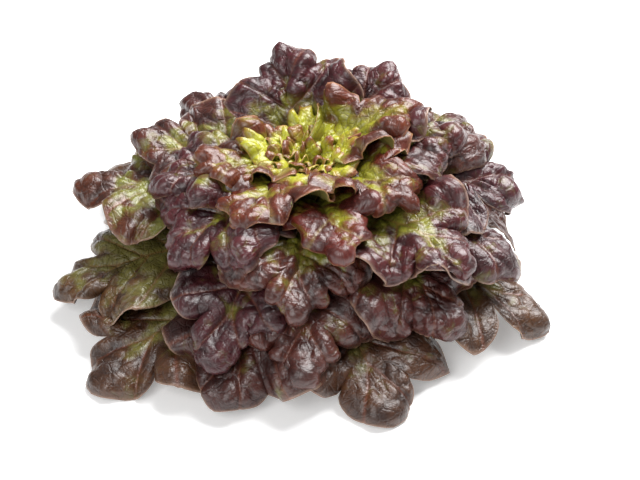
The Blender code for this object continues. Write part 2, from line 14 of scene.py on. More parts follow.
import bpy
import numpy as np
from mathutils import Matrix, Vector

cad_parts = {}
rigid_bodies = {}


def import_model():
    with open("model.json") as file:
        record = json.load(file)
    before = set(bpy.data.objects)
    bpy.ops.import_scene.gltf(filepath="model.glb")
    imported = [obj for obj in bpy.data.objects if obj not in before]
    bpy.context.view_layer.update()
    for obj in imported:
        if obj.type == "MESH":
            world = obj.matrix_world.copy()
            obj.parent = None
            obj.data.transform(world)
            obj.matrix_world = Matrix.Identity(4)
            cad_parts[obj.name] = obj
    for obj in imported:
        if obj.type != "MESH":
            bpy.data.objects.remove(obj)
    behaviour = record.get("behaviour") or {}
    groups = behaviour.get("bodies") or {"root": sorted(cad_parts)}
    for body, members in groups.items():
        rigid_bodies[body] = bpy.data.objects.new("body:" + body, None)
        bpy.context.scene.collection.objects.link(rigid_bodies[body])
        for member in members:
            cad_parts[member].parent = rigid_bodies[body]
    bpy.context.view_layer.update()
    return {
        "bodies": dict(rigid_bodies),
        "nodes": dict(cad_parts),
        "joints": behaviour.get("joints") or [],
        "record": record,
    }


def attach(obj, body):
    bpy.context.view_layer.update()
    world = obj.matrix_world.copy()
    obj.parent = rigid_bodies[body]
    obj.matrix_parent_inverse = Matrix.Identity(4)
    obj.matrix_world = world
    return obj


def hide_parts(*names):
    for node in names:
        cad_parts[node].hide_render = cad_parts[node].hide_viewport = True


LOG = logging.getLogger("lettuce")

# Stem and core of the model, in metres
CUT_RADIUS = 0.0165
STEM_WAIST_RADIUS = 0.0175
STEM_WAIST_HEIGHT = 0.012
STEM_TOP_RADIUS = 0.0050
STEM_TOP_HEIGHT = 0.046
CORE_HEIGHT = 0.024
CORE_TIP_RADIUS = 0.0028
CORE_HEIGHTS = [0.0, STEM_WAIST_HEIGHT, STEM_TOP_HEIGHT, STEM_TOP_HEIGHT + CORE_HEIGHT]
CORE_RADII = [CUT_RADIUS, STEM_WAIST_RADIUS, STEM_TOP_RADIUS, CORE_TIP_RADIUS]
FIRST_FOOT_HEIGHT = 0.009
LAST_FOOT_HEIGHT = 0.043
FOOT_PLACES = 32
FOOT_GAP = 0.0010

# Leaf of the model: sheet and rib, axis, outline and lobes, as in the part's source
BLADE_THICKNESS = 0.0010
RIB_THICKNESS = 0.0022
RIB_HALF_WIDTH = 0.0050
RIB_TAPER = 1.4
RIB_SPREAD = 0.040
AXIS_HANDLE = 0.42
AXIS_SAMPLES = 81
FOOT_SHARE = 0.23
WIDENS_FROM = 0.08
WIDENS_TO = 0.58
WIDEST_ANGLE = 62.0
TIP_FROM = 0.66
TIP_LOBE = 0.24
LOBES_START = 0.20
FAN_ANGLE = 78.0
FAN_CLOSING = 3.0
FAN_EASE = 0.7
FAN_DRAW = 9.0
FAN_STEPS = 30
ROWS_EACH_LOBE = {1: 4, 2: 6}
LOBE_DEPTH = 0.46
TIP_DEPTH = 0.65
LOBE_FLATNESS = 3.2
LOBE_SHOULDER = 0.5
LOBE_NARROWING = 3.0
LOBE_GROWS_OVER = 0.6
DEPTH_DRAW = (0.75, 1.2)
SIZE_DRAW = (0.84, 1.18)
BEND_DRAW = (-0.3, 1.4)
WRAP = 0.9
MOST_WRAP = 130.0
RUFFLE = 0.075
RUFFLE_WAVES = 3.5
RUFFLE_GROWS = (0.15, 0.45)
RUFFLE_FADING = 8
BEND_GROWS = (0.1, 0.5)
LEAN_GROWS = (0.3, 1.0)
CUP_GROWS = (0.1, 0.5)
LEAST_CLOSING = 0.01


class Ring(Enum):
    """The rings of leaves, from the surface up to the centre."""

    GROUND = "ground_leaf"
    OUTER = "outer_leaf"
    MIDDLE = "middle_leaf"
    INNER = "inner_leaf"
    HEART = "heart"


@dataclass(frozen=True)
class Leaf:
    """One leaf: where its foot points, where its tip ends, its blade and its colouring."""

    name: str
    azimuth: float
    reach: float
    height: float
    rise: float
    droop: float
    width: float
    sway: float = 0.0
    tilt: float = 0.0
    curl: float = -60.0
    cup: float = 0.0
    lobes: int = 2
    draw: int = 0
    brown: float = 0.3
    green: float = 0.3


def ring_of(ring: Ring, rows: list[tuple]) -> list[Leaf]:
    """Names the leaves of a ring, numbered from one.

    Args:
        ring: the ring that the leaves are in.
        rows: each leaf's values, in the order of Leaf's fields after its name.

    Returns:
        The leaves.
    """
    return [Leaf(f"{ring.value}_{number:02d}", *row) for number, row in enumerate(rows, start=1)]


# azimuth, reach, height, rise, droop, width, sway, tilt, curl, cup, lobes, draw, brown, green
GROUND_LEAVES = ring_of(
    Ring.GROUND,
    [
        (226, 0.178, 0.004, 27, -20, 0.120, -3, 0, -35, 6, 2, 1, 0.65, 0.44),
        (284, 0.160, 0.004, 26, -26, 0.105, 5, 0, -40, 6, 2, 2, 0.60, 0.30),
        (254, 0.152, 0.006, 28, -28, 0.105, -5, 0, -40, 6, 2, 3, 0.15, 0.26),
        (332, 0.166, 0.010, 28, -22, 0.105, 4, 0, -40, 6, 2, 104, 0.75, 0.36),
        (198, 0.164, 0.018, 29, -18, 0.110, -2, 0, -35, 6, 2, 5, 1.00, 0.64),
        (22, 0.146, 0.018, 30, -18, 0.105, 4, 0, -40, 6, 2, 6, 0.20, 0.32),
        (152, 0.150, 0.020, 30, -18, 0.105, 0, 0, -40, 6, 2, 7, 0.80, 0.48),
        (64, 0.142, 0.018, 30, -18, 0.105, 0, 0, -40, 6, 2, 8, 0.60, 0.40),
        (108, 0.142, 0.020, 32, -18, 0.105, 0, 0, -40, 6, 2, 9, 0.15, 0.28),
    ],
)
OUTER_LEAVES = ring_of(
    Ring.OUTER,
    [
        (270, 0.134, 0.016, 48, -62, 0.100, 0, 12, -80, 0, 2, 110, 0.55, 0.30),
        (240, 0.136, 0.016, 49, -62, 0.080, 6, -13, -75, 0, 2, 11, 0.10, 0.30),
        (308, 0.138, 0.026, 49, -52, 0.100, 5, 5, -80, 0, 2, 12, 0.40, 0.32),
        (340, 0.146, 0.042, 49, -36, 0.105, -3, -15, -75, 0, 2, 113, 0.15, 0.30),
        (175, 0.148, 0.052, 50, -8, 0.100, -3, 14, -40, 0, 2, 14, 0.90, 0.58),
        (7, 0.138, 0.058, 51, -20, 0.095, -8, 12, -80, 0, 2, 15, 0.05, 0.30),
        (32, 0.128, 0.060, 53, -16, 0.100, 3, 5, -75, 0, 2, 316, 0.50, 0.40),
        (128, 0.124, 0.066, 54, -8, 0.100, 3, -13, -70, 0, 2, 17, 0.45, 0.35),
        (80, 0.122, 0.068, 55, -8, 0.100, -4, 12, -70, 0, 2, 18, 0.30, 0.35),
    ],
)
MIDDLE_LEAVES = ring_of(
    Ring.MIDDLE,
    [
        (264, 0.116, 0.048, 59, -60, 0.105, 3, -13, -80, 0, 2, 19, 0.60, 0.40),
        (318, 0.122, 0.050, 60, -50, 0.095, 2, 14, -80, 0, 2, 20, 0.20, 0.42),
        (222, 0.114, 0.062, 61, -48, 0.105, 0, 12, -80, 0, 2, 121, 0.10, 0.38),
        (156, 0.118, 0.074, 62, 10, 0.095, 3, -14, -35, 0, 2, 22, 0.60, 0.52),
        (190, 0.100, 0.078, 65, -24, 0.095, 2, 14, -75, 0, 2, 123, 0.15, 0.45),
        (8, 0.100, 0.082, 66, -32, 0.095, 4, -13, -80, 0, 2, 24, 0.30, 0.48),
        (52, 0.084, 0.112, 70, 25, 0.095, -2, 12, -50, 0, 2, 25, 0.15, 0.42),
        (100, 0.078, 0.120, 72, 38, 0.092, 2, -13, -45, 0, 2, 26, 0.10, 0.42),
    ],
)
INNER_LEAVES = ring_of(
    Ring.INNER,
    [
        (282, 0.094, 0.070, 73, -55, 0.074, 0, -6, -65, 0, 1, 127, 0.10, 0.36),
        (240, 0.084, 0.080, 74, -40, 0.070, 3, 6, -65, 0, 1, 28, 0.35, 0.44),
        (322, 0.086, 0.084, 75, -42, 0.074, 0, 6, -65, 0, 1, 229, 0.30, 0.48),
        (202, 0.074, 0.092, 77, -20, 0.066, 0, 0, -60, 0, 1, 130, 0.50, 0.50),
        (21, 0.074, 0.098, 78, -45, 0.074, 0, 0, -70, 0, 1, 331, 0.40, 0.54),
    ],
)
LARGE_LEAVES = GROUND_LEAVES + OUTER_LEAVES + MIDDLE_LEAVES + INNER_LEAVES


def smooth_step(low: float, high: float, value: np.ndarray) -> np.ndarray:
    """0 below low, 1 above high and an eased rise between."""
    t = np.clip((value - low) / (high - low), 0.0, 1.0)
    return t * t * (3 - 2 * t)


def unit(vectors: np.ndarray) -> np.ndarray:
    """The vectors at length one."""
    return vectors / np.maximum(np.linalg.norm(vectors, axis=-1, keepdims=True), 1e-12)


def direction(azimuth: float, lift: float) -> np.ndarray:
    """The unit vector that points this way round the stem and this far above the horizon."""
    a, e = math.radians(azimuth), math.radians(lift)
    return np.array([math.cos(a) * math.cos(e), math.sin(a) * math.cos(e), math.sin(e)])


def linear(shade: str) -> tuple[float, float, float]:
    """A colour such as "4a2530" as linear red, green and blue."""
    parts = [int(shade[k : k + 2], 16) / 255 for k in (0, 2, 4)]
    return tuple(c / 12.92 if c <= 0.04045 else ((c + 0.055) / 1.055) ** 2.4 for c in parts)


def blended(first: str, second: str, share: float) -> tuple[float, float, float]:
    """A colour this far from the first towards the second, as linear red, green and blue."""
    pairs = zip(linear(first), linear(second))
    return tuple(a * (1 - share) + b * share for a, b in pairs)


@dataclass(frozen=True)
class Axis:
    """A leaf's axis: evenly spaced points with the ways along, across and up."""

    length: float
    points: np.ndarray
    along: np.ndarray
    across: np.ndarray
    up: np.ndarray

    @classmethod
    def of(cls, leaf: Leaf, foot_height: float, foot_gap: float) -> "Axis":
        """Draws the axis from the leaf's foot on the stem to its tip.

        Args:
            leaf: the leaf.
            foot_height: the foot's height above the cut face.
            foot_gap: the room between the stem's flank and the foot.

        Returns:
            The axis.
        """
        radius = float(np.interp(foot_height, CORE_HEIGHTS, CORE_RADII))
        foot = direction(leaf.azimuth, 0) * (radius + foot_gap)
        foot[2] = foot_height
        tip = direction(leaf.azimuth + leaf.sway, 0) * leaf.reach
        tip[2] = leaf.height
        handle = AXIS_HANDLE * np.linalg.norm(tip - foot)
        controls = [
            foot,
            foot + handle * direction(leaf.azimuth, leaf.rise),
            tip - handle * direction(leaf.azimuth + 2 * leaf.sway, leaf.droop),
            tip,
        ]
        share = np.linspace(0, 1, AXIS_SAMPLES)
        t = share[:, None]
        weights = [(1 - t) ** 3, 3 * t * (1 - t) ** 2, 3 * t**2 * (1 - t), t**3]
        curve = sum(weight * control for weight, control in zip(weights, controls))
        steps = np.linalg.norm(np.diff(curve, axis=0), axis=1)
        travelled = np.concatenate([[0], np.cumsum(steps)])
        length = float(travelled[-1])
        even = length * share
        points = np.stack([np.interp(even, travelled, curve[:, k]) for k in range(3)], axis=1)
        along = unit(np.gradient(points, axis=0))
        heading = np.radians(leaf.azimuth + 2 * leaf.sway * share)
        level = np.stack([-np.sin(heading), np.cos(heading), 0 * heading], axis=1)
        up = unit(np.cross(along, level))
        across = np.cross(up, along)
        roll = np.radians(leaf.tilt) * smooth_step(0, 1, t)
        turned_across = across * np.cos(roll) + up * np.sin(roll)
        turned_up = up * np.cos(roll) - across * np.sin(roll)
        return cls(length, points, along, turned_across, turned_up)

    def read(self, column: np.ndarray, distance: np.ndarray) -> np.ndarray:
        """A column of the axis at distances from its foot."""
        even = np.linspace(0, self.length, AXIS_SAMPLES)
        return np.stack([np.interp(distance, even, column[:, k]) for k in range(3)], axis=-1)

    def spine(self, distance: np.ndarray) -> np.ndarray:
        """Points of the axis at distances from its foot, and straight on past its tip."""
        past = np.maximum(distance - self.length, 0.0)[..., None]
        return self.read(self.points, distance) + past * self.along[-1]


@dataclass(frozen=True)
class Blade:
    """A leaf's blade before it is bent by its neighbours, at any fineness."""

    leaf: Leaf
    foot_height: float
    foot_gap: float

    def rows(self, rows_each_lobe: int) -> tuple[np.ndarray, np.ndarray]:
        """Where the fan's rows leave the axis, and each row's place among the lobes.

        Args:
            rows_each_lobe: how many rows there are from one notch to the next.

        Returns:
            Each row's place from 0 at the foot to 1, and its count of lobes.
        """
        lobes = self.leaf.lobes
        lobe_rows = np.arange(0, (lobes + 0.5) * rows_each_lobe + 0.5) / rows_each_lobe
        foot_rows = np.linspace(0, LOBES_START, rows_each_lobe // 2 + 1)[:-1]
        places = LOBES_START + (1 - LOBES_START) * lobe_rows / (lobes + 0.5)
        places[-1] = 1.0
        return np.concatenate([foot_rows, places]), np.concatenate([0 * foot_rows, lobe_rows])

    def centres(self) -> np.ndarray:
        """The middle of each lobe, counted in lobes from the first one's start."""
        return np.arange(self.leaf.lobes + 1) + 0.5

    def within(self, among: np.ndarray) -> np.ndarray:
        """Each row's place in its own lobe.

        Args:
            among: each row's count of lobes.

        Returns:
            The places, from -1 to 1 with 0 in the middle and on the tip.
        """
        within = 2 * (among - np.floor(among)) - 1
        within[among >= self.leaf.lobes + 0.5] = 0
        return within

    def line_lengths(
        self, axis: Axis, place: np.ndarray, among: np.ndarray, draw: np.random.Generator
    ) -> np.ndarray:
        """Length of each line of the fan, long in the middle of a lobe and short in a notch.

        Args:
            axis: the leaf's axis.
            place: where each row leaves the axis.
            among: each row's count of lobes.
            draw: the leaf's random draws.

        Returns:
            One length for each row.
        """
        leaf = self.leaf
        widest = 0.5 * leaf.width / math.sin(math.radians(WIDEST_ANGLE))
        foot = FOOT_SHARE * np.linalg.norm(axis.points[0][:2])
        reach = foot + (widest - foot) * smooth_step(WIDENS_FROM, WIDENS_TO, place)
        to_tip = smooth_step(TIP_FROM, 1.0, place)
        reach = reach * (1 - to_tip) + TIP_LOBE * axis.length * to_tip
        grown = smooth_step(0.0, LOBE_GROWS_OVER, among)
        depth = LOBE_DEPTH * draw.uniform(*DEPTH_DRAW) * grown
        shallower = smooth_step(leaf.lobes, leaf.lobes + 0.5, among)
        depth = depth * (1 - (1 - TIP_DEPTH) * shallower)
        rounded = np.maximum(1 - np.abs(self.within(among)) ** LOBE_FLATNESS, 0.0)
        sizes = draw.uniform(*SIZE_DRAW, leaf.lobes + 1)
        sizes[-1] = 1.0
        size = 1 + (np.interp(among, self.centres(), sizes) - 1) * grown
        return reach * (1 - depth * (1 - rounded**LOBE_SHOULDER)) * size

    def half(
        self, axis: Axis, side: int, draw: np.random.Generator, rows_each_lobe: int
    ) -> tuple[np.ndarray, np.ndarray]:
        """One side of the blade, a row for each line of the fan from axis to margin.

        Args:
            axis: the leaf's axis.
            side: 1 for the left half and -1 for the right.
            draw: the leaf's random draws.
            rows_each_lobe: how many rows there are from one notch to the next.

        Returns:
            The bent points, and the same points laid out flat.
        """
        leaf = self.leaf
        place, among = self.rows(rows_each_lobe)
        reach = self.line_lengths(axis, place, among, draw)
        bends = np.radians(leaf.curl * draw.uniform(*BEND_DRAW, leaf.lobes + 1))
        bends[-1] = math.radians(leaf.curl)
        bend = np.interp(among, self.centres(), bends) * smooth_step(*BEND_GROWS, place)
        turn = math.radians(FAN_ANGLE) * (1 - place**FAN_CLOSING) ** FAN_EASE
        turn = turn + math.radians(draw.uniform(-FAN_DRAW, FAN_DRAW)) * np.sin(math.pi * place)
        narrowing = np.sin(math.pi * self.within(among)) * smooth_step(0.0, LOBE_GROWS_OVER, among)
        narrowing = math.radians(LOBE_NARROWING) * narrowing
        wave = np.sin(2 * math.pi * RUFFLE_WAVES * place + draw.uniform(0, 2 * math.pi))
        wave = wave * RUFFLE * leaf.width * smooth_step(*RUFFLE_GROWS, place)
        wave = wave * (1 - place**RUFFLE_FADING)
        x = place * (1 - TIP_LOBE) * axis.length
        y, h = 0 * x, 0 * x
        flat_x, flat_y = x, y
        lines = [np.stack([x, y, h], axis=-1)]
        plan = [np.stack([x, y], axis=-1)]
        for step in range(FAN_STEPS):
            out = (step + 0.5) / FAN_STEPS
            lean = bend * smooth_step(*LEAN_GROWS, out)
            heading = turn + narrowing * out
            x = x + np.cos(lean) * np.cos(heading) * reach / FAN_STEPS
            y = y + np.cos(lean) * np.sin(heading) * reach / FAN_STEPS
            h = h + np.sin(lean) * reach / FAN_STEPS
            flat_x = flat_x + np.cos(heading) * reach / FAN_STEPS
            flat_y = flat_y + np.sin(heading) * reach / FAN_STEPS
            ruffled = h + wave * ((step + 1) / FAN_STEPS) ** 2
            lines.append(np.stack([x, side * y, ruffled], axis=-1))
            plan.append(np.stack([flat_x, side * flat_y], axis=-1))
        return self.wrapped(axis, np.stack(lines, axis=1)), np.stack(plan, axis=1)

    def wrapped(self, axis: Axis, flat: np.ndarray) -> np.ndarray:
        """Lays points along the curved and cupped axis.

        Args:
            axis: the leaf's axis.
            flat: the points, each as along, across and up.

        Returns:
            The same points in place.
        """
        x, y, h = flat[..., 0], flat[..., 1], flat[..., 2]
        share = np.clip(x / axis.length, 0, 1)
        spine = axis.spine(x)
        climbing = axis.read(axis.along, x)[..., 2]
        closing = WRAP * climbing / np.linalg.norm(spine[..., :2], axis=-1)
        closing = np.clip(closing, -MOST_WRAP, MOST_WRAP)
        cupped = math.radians(self.leaf.cup) / (0.5 * self.leaf.width)
        closing = closing + cupped * smooth_step(*CUP_GROWS, share)
        closing = np.where(np.abs(closing) < LEAST_CLOSING, LEAST_CLOSING, closing)
        angle = closing * y
        sideways = np.where(np.abs(angle) < 1e-6, y, np.sin(angle) / closing)[..., None]
        raised = ((1 - np.cos(angle)) / closing)[..., None]
        across, up = axis.read(axis.across, x), axis.read(axis.up, x)
        face_up = np.cos(angle)[..., None] * up - np.sin(angle)[..., None] * across
        return spine + sideways * across + raised * up + h[..., None] * face_up

    def grid(self, columns: int, rows_each_lobe: int) -> tuple[np.ndarray, np.ndarray]:
        """The whole blade as a grid of points, with its left half first in each row.

        Args:
            columns: how many steps there are from the axis to the margin.
            rows_each_lobe: how many rows there are from one notch to the next.

        Returns:
            The points, and the same points laid out flat.
        """
        axis = Axis.of(self.leaf, self.foot_height, self.foot_gap)
        draw = np.random.default_rng(self.leaf.draw)
        left, left_plan = self.half(axis, 1, draw, rows_each_lobe)
        right, right_plan = self.half(axis, -1, draw, rows_each_lobe)
        left[-1] = right[-1] = 0.5 * (left[-1] + right[-1])
        steps = FAN_STEPS // columns
        halves = [part[:, ::steps] for part in (left, right, left_plan, right_plan)]
        points = np.concatenate([halves[0][:, :0:-1], halves[1]], axis=1)
        plan = np.concatenate([halves[2][:, :0:-1], halves[3]], axis=1)
        return points, plan


@dataclass(frozen=True)
class Net:
    """How the points of a blade's grid are numbered and joined by triangles."""

    rows: int
    columns: int

    def index(self) -> np.ndarray:
        """Numbers the grid's points.

        Returns:
            The numbers, the two halves of the last row sharing theirs.
        """
        width = 2 * self.columns + 1
        index = np.arange(self.rows * width).reshape(self.rows, width)
        index[-1, self.columns + 1 :] = index[-1, self.columns - 1 :: -1]
        return index

    def strip(self, row: int) -> list[tuple[int, int, int]]:
        """The triangles between two rows, split alike on both sides of the axis.

        Args:
            row: the first row's number.

        Returns:
            The triangles, without the flat ones at the tip.
        """
        low, high = self.index()[row : row + 2].tolist()
        meeting = row == self.rows - 2
        found = []
        for k in range(2 * self.columns):
            a, b, c, d = low[k], low[k + 1], high[k + 1], high[k]
            outwards = (k >= self.columns) != meeting
            halves = ((a, b, c), (a, c, d)) if outwards else ((a, b, d), (b, c, d))
            found += [face for face in halves if len(set(face)) == 3]
        return found

    def triangles(self) -> list[tuple[int, int, int]]:
        """All of the sheet's triangles."""
        return [face for row in range(self.rows - 1) for face in self.strip(row)]

    def tip(self) -> list[tuple[int, int, int]]:
        """The triangles of the last strip, which closes the tip."""
        return self.strip(self.rows - 2)

    def quads(self) -> np.ndarray:
        """The sheet's faces of four corners.

        Returns:
            A row of point numbers for each face, without the last strip.
        """
        index = self.index()
        corners = (index[:-2, :-1], index[:-2, 1:], index[1:-1, 1:], index[1:-1, :-1])
        return np.stack(corners, axis=-1).reshape(-1, 4)

    def rim(self) -> list[int]:
        """The sheet's outer edge in order round it."""
        index = self.index()
        return [*index[0].tolist(), *index[1:, -1].tolist(), *index[-2:0:-1, 0].tolist()]


class PackedSheet:
    """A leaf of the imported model, read back as the grid that it was made from."""

    COLUMNS = 3
    SAME_POINT = 1e7

    def __init__(self, blade: Blade, node: bpy.types.Object) -> None:
        """Reads the leaf's grid.

        Args:
            blade: the leaf's blade, for its size and its foot, which stays in place.
            node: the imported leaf.
        """
        self.rest, _ = blade.grid(self.COLUMNS, ROWS_EACH_LOBE[blade.leaf.lobes])
        self.net = Net(self.rest.shape[0], self.COLUMNS)
        self.node = node
        self.laid = self.read()

    def solid_triangles(self) -> tuple[list[tuple[int, int, int]], int]:
        """Numbers the closed leaf's triangles.

        Returns:
            The triangles, and how far the lower face's numbers are from the upper face's.
        """
        count = self.rest.shape[0] * self.rest.shape[1]
        faces = self.net.triangles()
        faces = faces + [(a + count, c + count, b + count) for a, b, c in faces]
        rim = self.net.rim()
        for a, b in zip(rim, rim[1:] + rim[:1]):
            faces += [(a, a + count, b + count), (a, b + count, b)]
        return faces, count

    def read(self) -> np.ndarray:
        """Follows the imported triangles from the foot.

        Returns:
            The grid's bent points.
        """
        mesh = self.node.data
        corners = np.array([vertex.co for vertex in mesh.vertices])
        keys = np.round(corners * self.SAME_POINT).astype(np.int64)
        _, first, index = np.unique(keys, axis=0, return_index=True, return_inverse=True)
        corners, index = corners[first], index.reshape(-1)
        mesh.calc_loop_triangles()
        third = {}
        for triangle in mesh.loop_triangles:
            i, j, k = (int(index[v]) for v in triangle.vertices)
            third[i, j], third[j, k], third[k, i] = k, i, j
        faces, count = self.solid_triangles()
        rest = self.rest.reshape(-1, 3)
        normal = unit(np.cross(rest[1] - rest[0], rest[self.rest.shape[1]] - rest[0]))
        upper = rest[:2] + 0.5 * BLADE_THICKNESS * normal
        placed = {
            k: int(np.argmin(np.linalg.norm(corners - upper[k], axis=1))) for k in range(2)
        }
        waiting = faces
        while waiting:
            left = []
            for face in waiting:
                for a, b, c in (face, (face[1], face[2], face[0]), (face[2], face[0], face[1])):
                    if a in placed and b in placed and c not in placed:
                        placed[c] = third[placed[a], placed[b]]
                if any(corner not in placed for corner in face):
                    left.append(face)
            if len(left) == len(waiting):
                raise ValueError(f"{self.node.name}: the packed triangles can't be followed")
            waiting = left
        grid = self.net.index().reshape(-1)
        top = corners[[placed[int(k)] for k in grid]]
        bottom = corners[[placed[int(k) + count] for k in grid]]
        middle = top - 0.5 * BLADE_THICKNESS * unit(top - bottom)
        return middle.reshape(self.rest.shape)

    def bending(self) -> np.ndarray:
        """How far each of the grid's points was bent from its place at rest."""
        return self.laid - self.rest


def refining(coarse: int, fine: int) -> np.ndarray:
    """A matrix that reads smooth values between evenly spaced ones.

    Args:
        coarse: how many values are given.
        fine: how many are wanted, the first and last of them the same as those given.

    Returns:
        The matrix, a row for each value that is wanted.
    """
    at = np.linspace(0, coarse - 1, fine)
    low = np.minimum(at.astype(int), coarse - 2)
    t = at - low
    weights = [
        0.5 * (-t + 2 * t**2 - t**3),
        0.5 * (2 - 5 * t**2 + 3 * t**3),
        0.5 * (t + 4 * t**2 - 3 * t**3),
        0.5 * (-(t**2) + t**3),
    ]
    made = np.zeros((fine, coarse))
    for step, weight in zip((-1, 0, 1, 2), weights):
        np.add.at(made, (np.arange(fine), np.clip(low + step, 0, coarse - 1)), weight)
    return made


@dataclass(frozen=True)
class Vein:
    """A vein on the flat blade, with its breadth at its start as a share of a groove's."""

    TAPER = 0.75

    points: np.ndarray
    breadth: float

    def away(self, spots: np.ndarray) -> np.ndarray:
        """How far spots are from the vein, which tapers to its end.

        Args:
            spots: points of the flat blade, one in each row.

        Returns:
            Each spot's distance in metres, divided by the vein's breadth beside it.
        """
        starts, steps = self.points[:-1], np.diff(self.points, axis=0)
        squared = np.maximum((steps**2).sum(axis=1), 1e-12)
        offset = spots[:, None] - starts
        share = np.clip((offset * steps).sum(axis=2) / squared, 0, 1)
        distance = np.linalg.norm(offset - share[..., None] * steps, axis=2)
        travelled = (np.arange(len(steps)) + share) / len(steps)
        return (distance / (self.breadth * (1 - self.TAPER * travelled))).min(axis=1)


@dataclass(frozen=True)
class VeinPlan:
    """How a leaf's veins run: the midrib, side veins into the lobes, and their branches.

    The midrib ends at a share of the rows, and side veins are placed in lobes from the first
    one's start. Breadths are shares of a groove's. Branches are measured in metres and
    degrees, and bow by up to half a radian.
    """

    midrib_ends: float = 0.97
    midrib_breadth: float = 1.6
    midrib_step: int = 4
    first_side: float = 0.25
    side_spacing: float = 0.5
    side_draw: float = 0.06
    side_step: int = 3
    side_breadth: float = 1.0
    weak_breadth: float = 0.7
    branch_breadth: float = 0.5
    branch_first: float = 0.006
    branch_spacing: float = 0.0075
    branch_draw: float = 0.0015
    branch_ends: float = 0.004
    branch_ahead: float = 0.003
    branch_angles: tuple[float, float] = (38.0, 58.0)
    branch_length: float = 0.016
    branch_lengths: tuple[float, float] = (0.6, 1.1)
    branch_bow: float = 0.5
    branch_steps: int = 5

    def lines(
        self, plan: np.ndarray, among: np.ndarray, lobes: int, draw: np.random.Generator
    ) -> list[Vein]:
        """Draws all of a leaf's veins.

        Args:
            plan: the blade's points laid out flat.
            among: each row's count of lobes.
            lobes: how many pairs of lobes the leaf has.
            draw: the leaf's random draws.

        Returns:
            The veins, with the midrib first.
        """
        middle = plan.shape[1] // 2
        last = int(plan.shape[0] * self.midrib_ends)
        found = [Vein(plan[: last : self.midrib_step, middle], self.midrib_breadth)]
        for side in (-1, 1):
            for centre in np.arange(self.first_side, lobes + self.side_spacing, self.side_spacing):
                moved = draw.uniform(-self.side_draw, self.side_draw)
                row = int(np.argmin(np.abs(among - centre - moved)))
                line = plan[row, middle :: self.side_step * side]
                strong = math.isclose(centre % 1, self.first_side)
                found.append(Vein(line, self.side_breadth if strong else self.weak_breadth))
                found += self.branches(line, draw)
        return found

    def branches(self, line: np.ndarray, draw: np.random.Generator) -> list[Vein]:
        """Draws the small veins that leave a side vein by turns on its two sides.

        Args:
            line: the side vein's points.
            draw: the leaf's random draws.

        Returns:
            The branches.
        """
        found, hand = [], draw.choice([-1, 1])
        steps = np.linalg.norm(np.diff(line, axis=0), axis=1)
        travelled = np.concatenate([[0], np.cumsum(steps)])
        ends = travelled[-1] - self.branch_ends
        for start in np.arange(self.branch_first, ends, self.branch_spacing):
            start = start + draw.uniform(-self.branch_draw, self.branch_draw)
            foot, ahead = (
                np.array([np.interp(at, travelled, line[:, k]) for k in range(2)])
                for at in (start, start + self.branch_ahead)
            )
            turn = hand * math.radians(draw.uniform(*self.branch_angles))
            heading = math.atan2(*(ahead - foot)[::-1]) + turn
            stride = self.branch_length * draw.uniform(*self.branch_lengths) / self.branch_steps
            bow = draw.uniform(-self.branch_bow, self.branch_bow)
            spots = [foot]
            for step in range(self.branch_steps):
                turned = heading + bow * step / self.branch_steps
                spots.append(spots[-1] + stride * np.array([math.cos(turned), math.sin(turned)]))
            found.append(Vein(np.array(spots), self.branch_breadth))
            hand = -hand
        return found


@dataclass(frozen=True)
class Relief:
    """How far a ring's leaves are blistered, crowned and waved.

    All are in metres, but for the least blistered patch as a share of the most blistered one,
    and the wave's lift as a share of the wave.
    """

    blister: float = 0.0038
    blister_size: float = 0.0128
    least_blistered: float = 0.35
    crown: float = 0.0044
    cup: float = 0.0090
    wave: float = 0.0027
    wave_lift: float = 0.5
    wave_length: float = 0.030
    roll: float = 0.0014
    groove: float = 0.0010
    groove_breadth: float = 0.0032


@dataclass(frozen=True)
class BlisterForm:
    """How a leaf's blisters are made up: large and small ones, in strong and weak patches."""

    size_draw: tuple[float, float] = (0.8, 1.25)
    rises_over: float = 2.0
    roundness: float = 2.4
    small_size: float = 0.5
    patch_length: float = 2.6
    patch_turns: float = 6.0
    between_veins: float = 0.2
    on_veins: float = 0.4
    large_share: float = 0.78
    small_share: float = 0.05


@dataclass(frozen=True)
class LobeForm:
    """How lobes are crowned in their middle, above 0, or cupped at their edge, below 0."""

    least: float = -1.0
    most: float = 1.3
    tip: float = 0.6
    crown_rises: tuple[float, float] = (0.25, 0.70)
    crown_falls: tuple[float, float] = (0.80, 1.0)
    crown_lost: float = 0.6
    cup_rises: tuple[float, float] = (0.35, 1.0)
    cup_in_middle: float = 0.35


@dataclass(frozen=True)
class MarginForm:
    """How the margin's waves and roll change along it and calm down in the notches.

    Lengths and heights are shares of the ring's own wave and roll.
    """

    length_draw: tuple[float, float] = (0.85, 1.2)
    slow_length: float = 3.7
    slow_pull: float = 1.3
    second_length: float = 0.43
    second_pull: float = 2.1
    second_share: float = 0.25
    wave_from: float = 0.40
    wave_least: float = 0.8
    wave_swell: float = 0.4
    roll_from: float = 0.78
    roll_least: float = 0.45
    roll_swell: float = 0.55
    notch_sharpness: int = 6
    wave_calmed: float = 0.85
    roll_calmed: float = 0.7


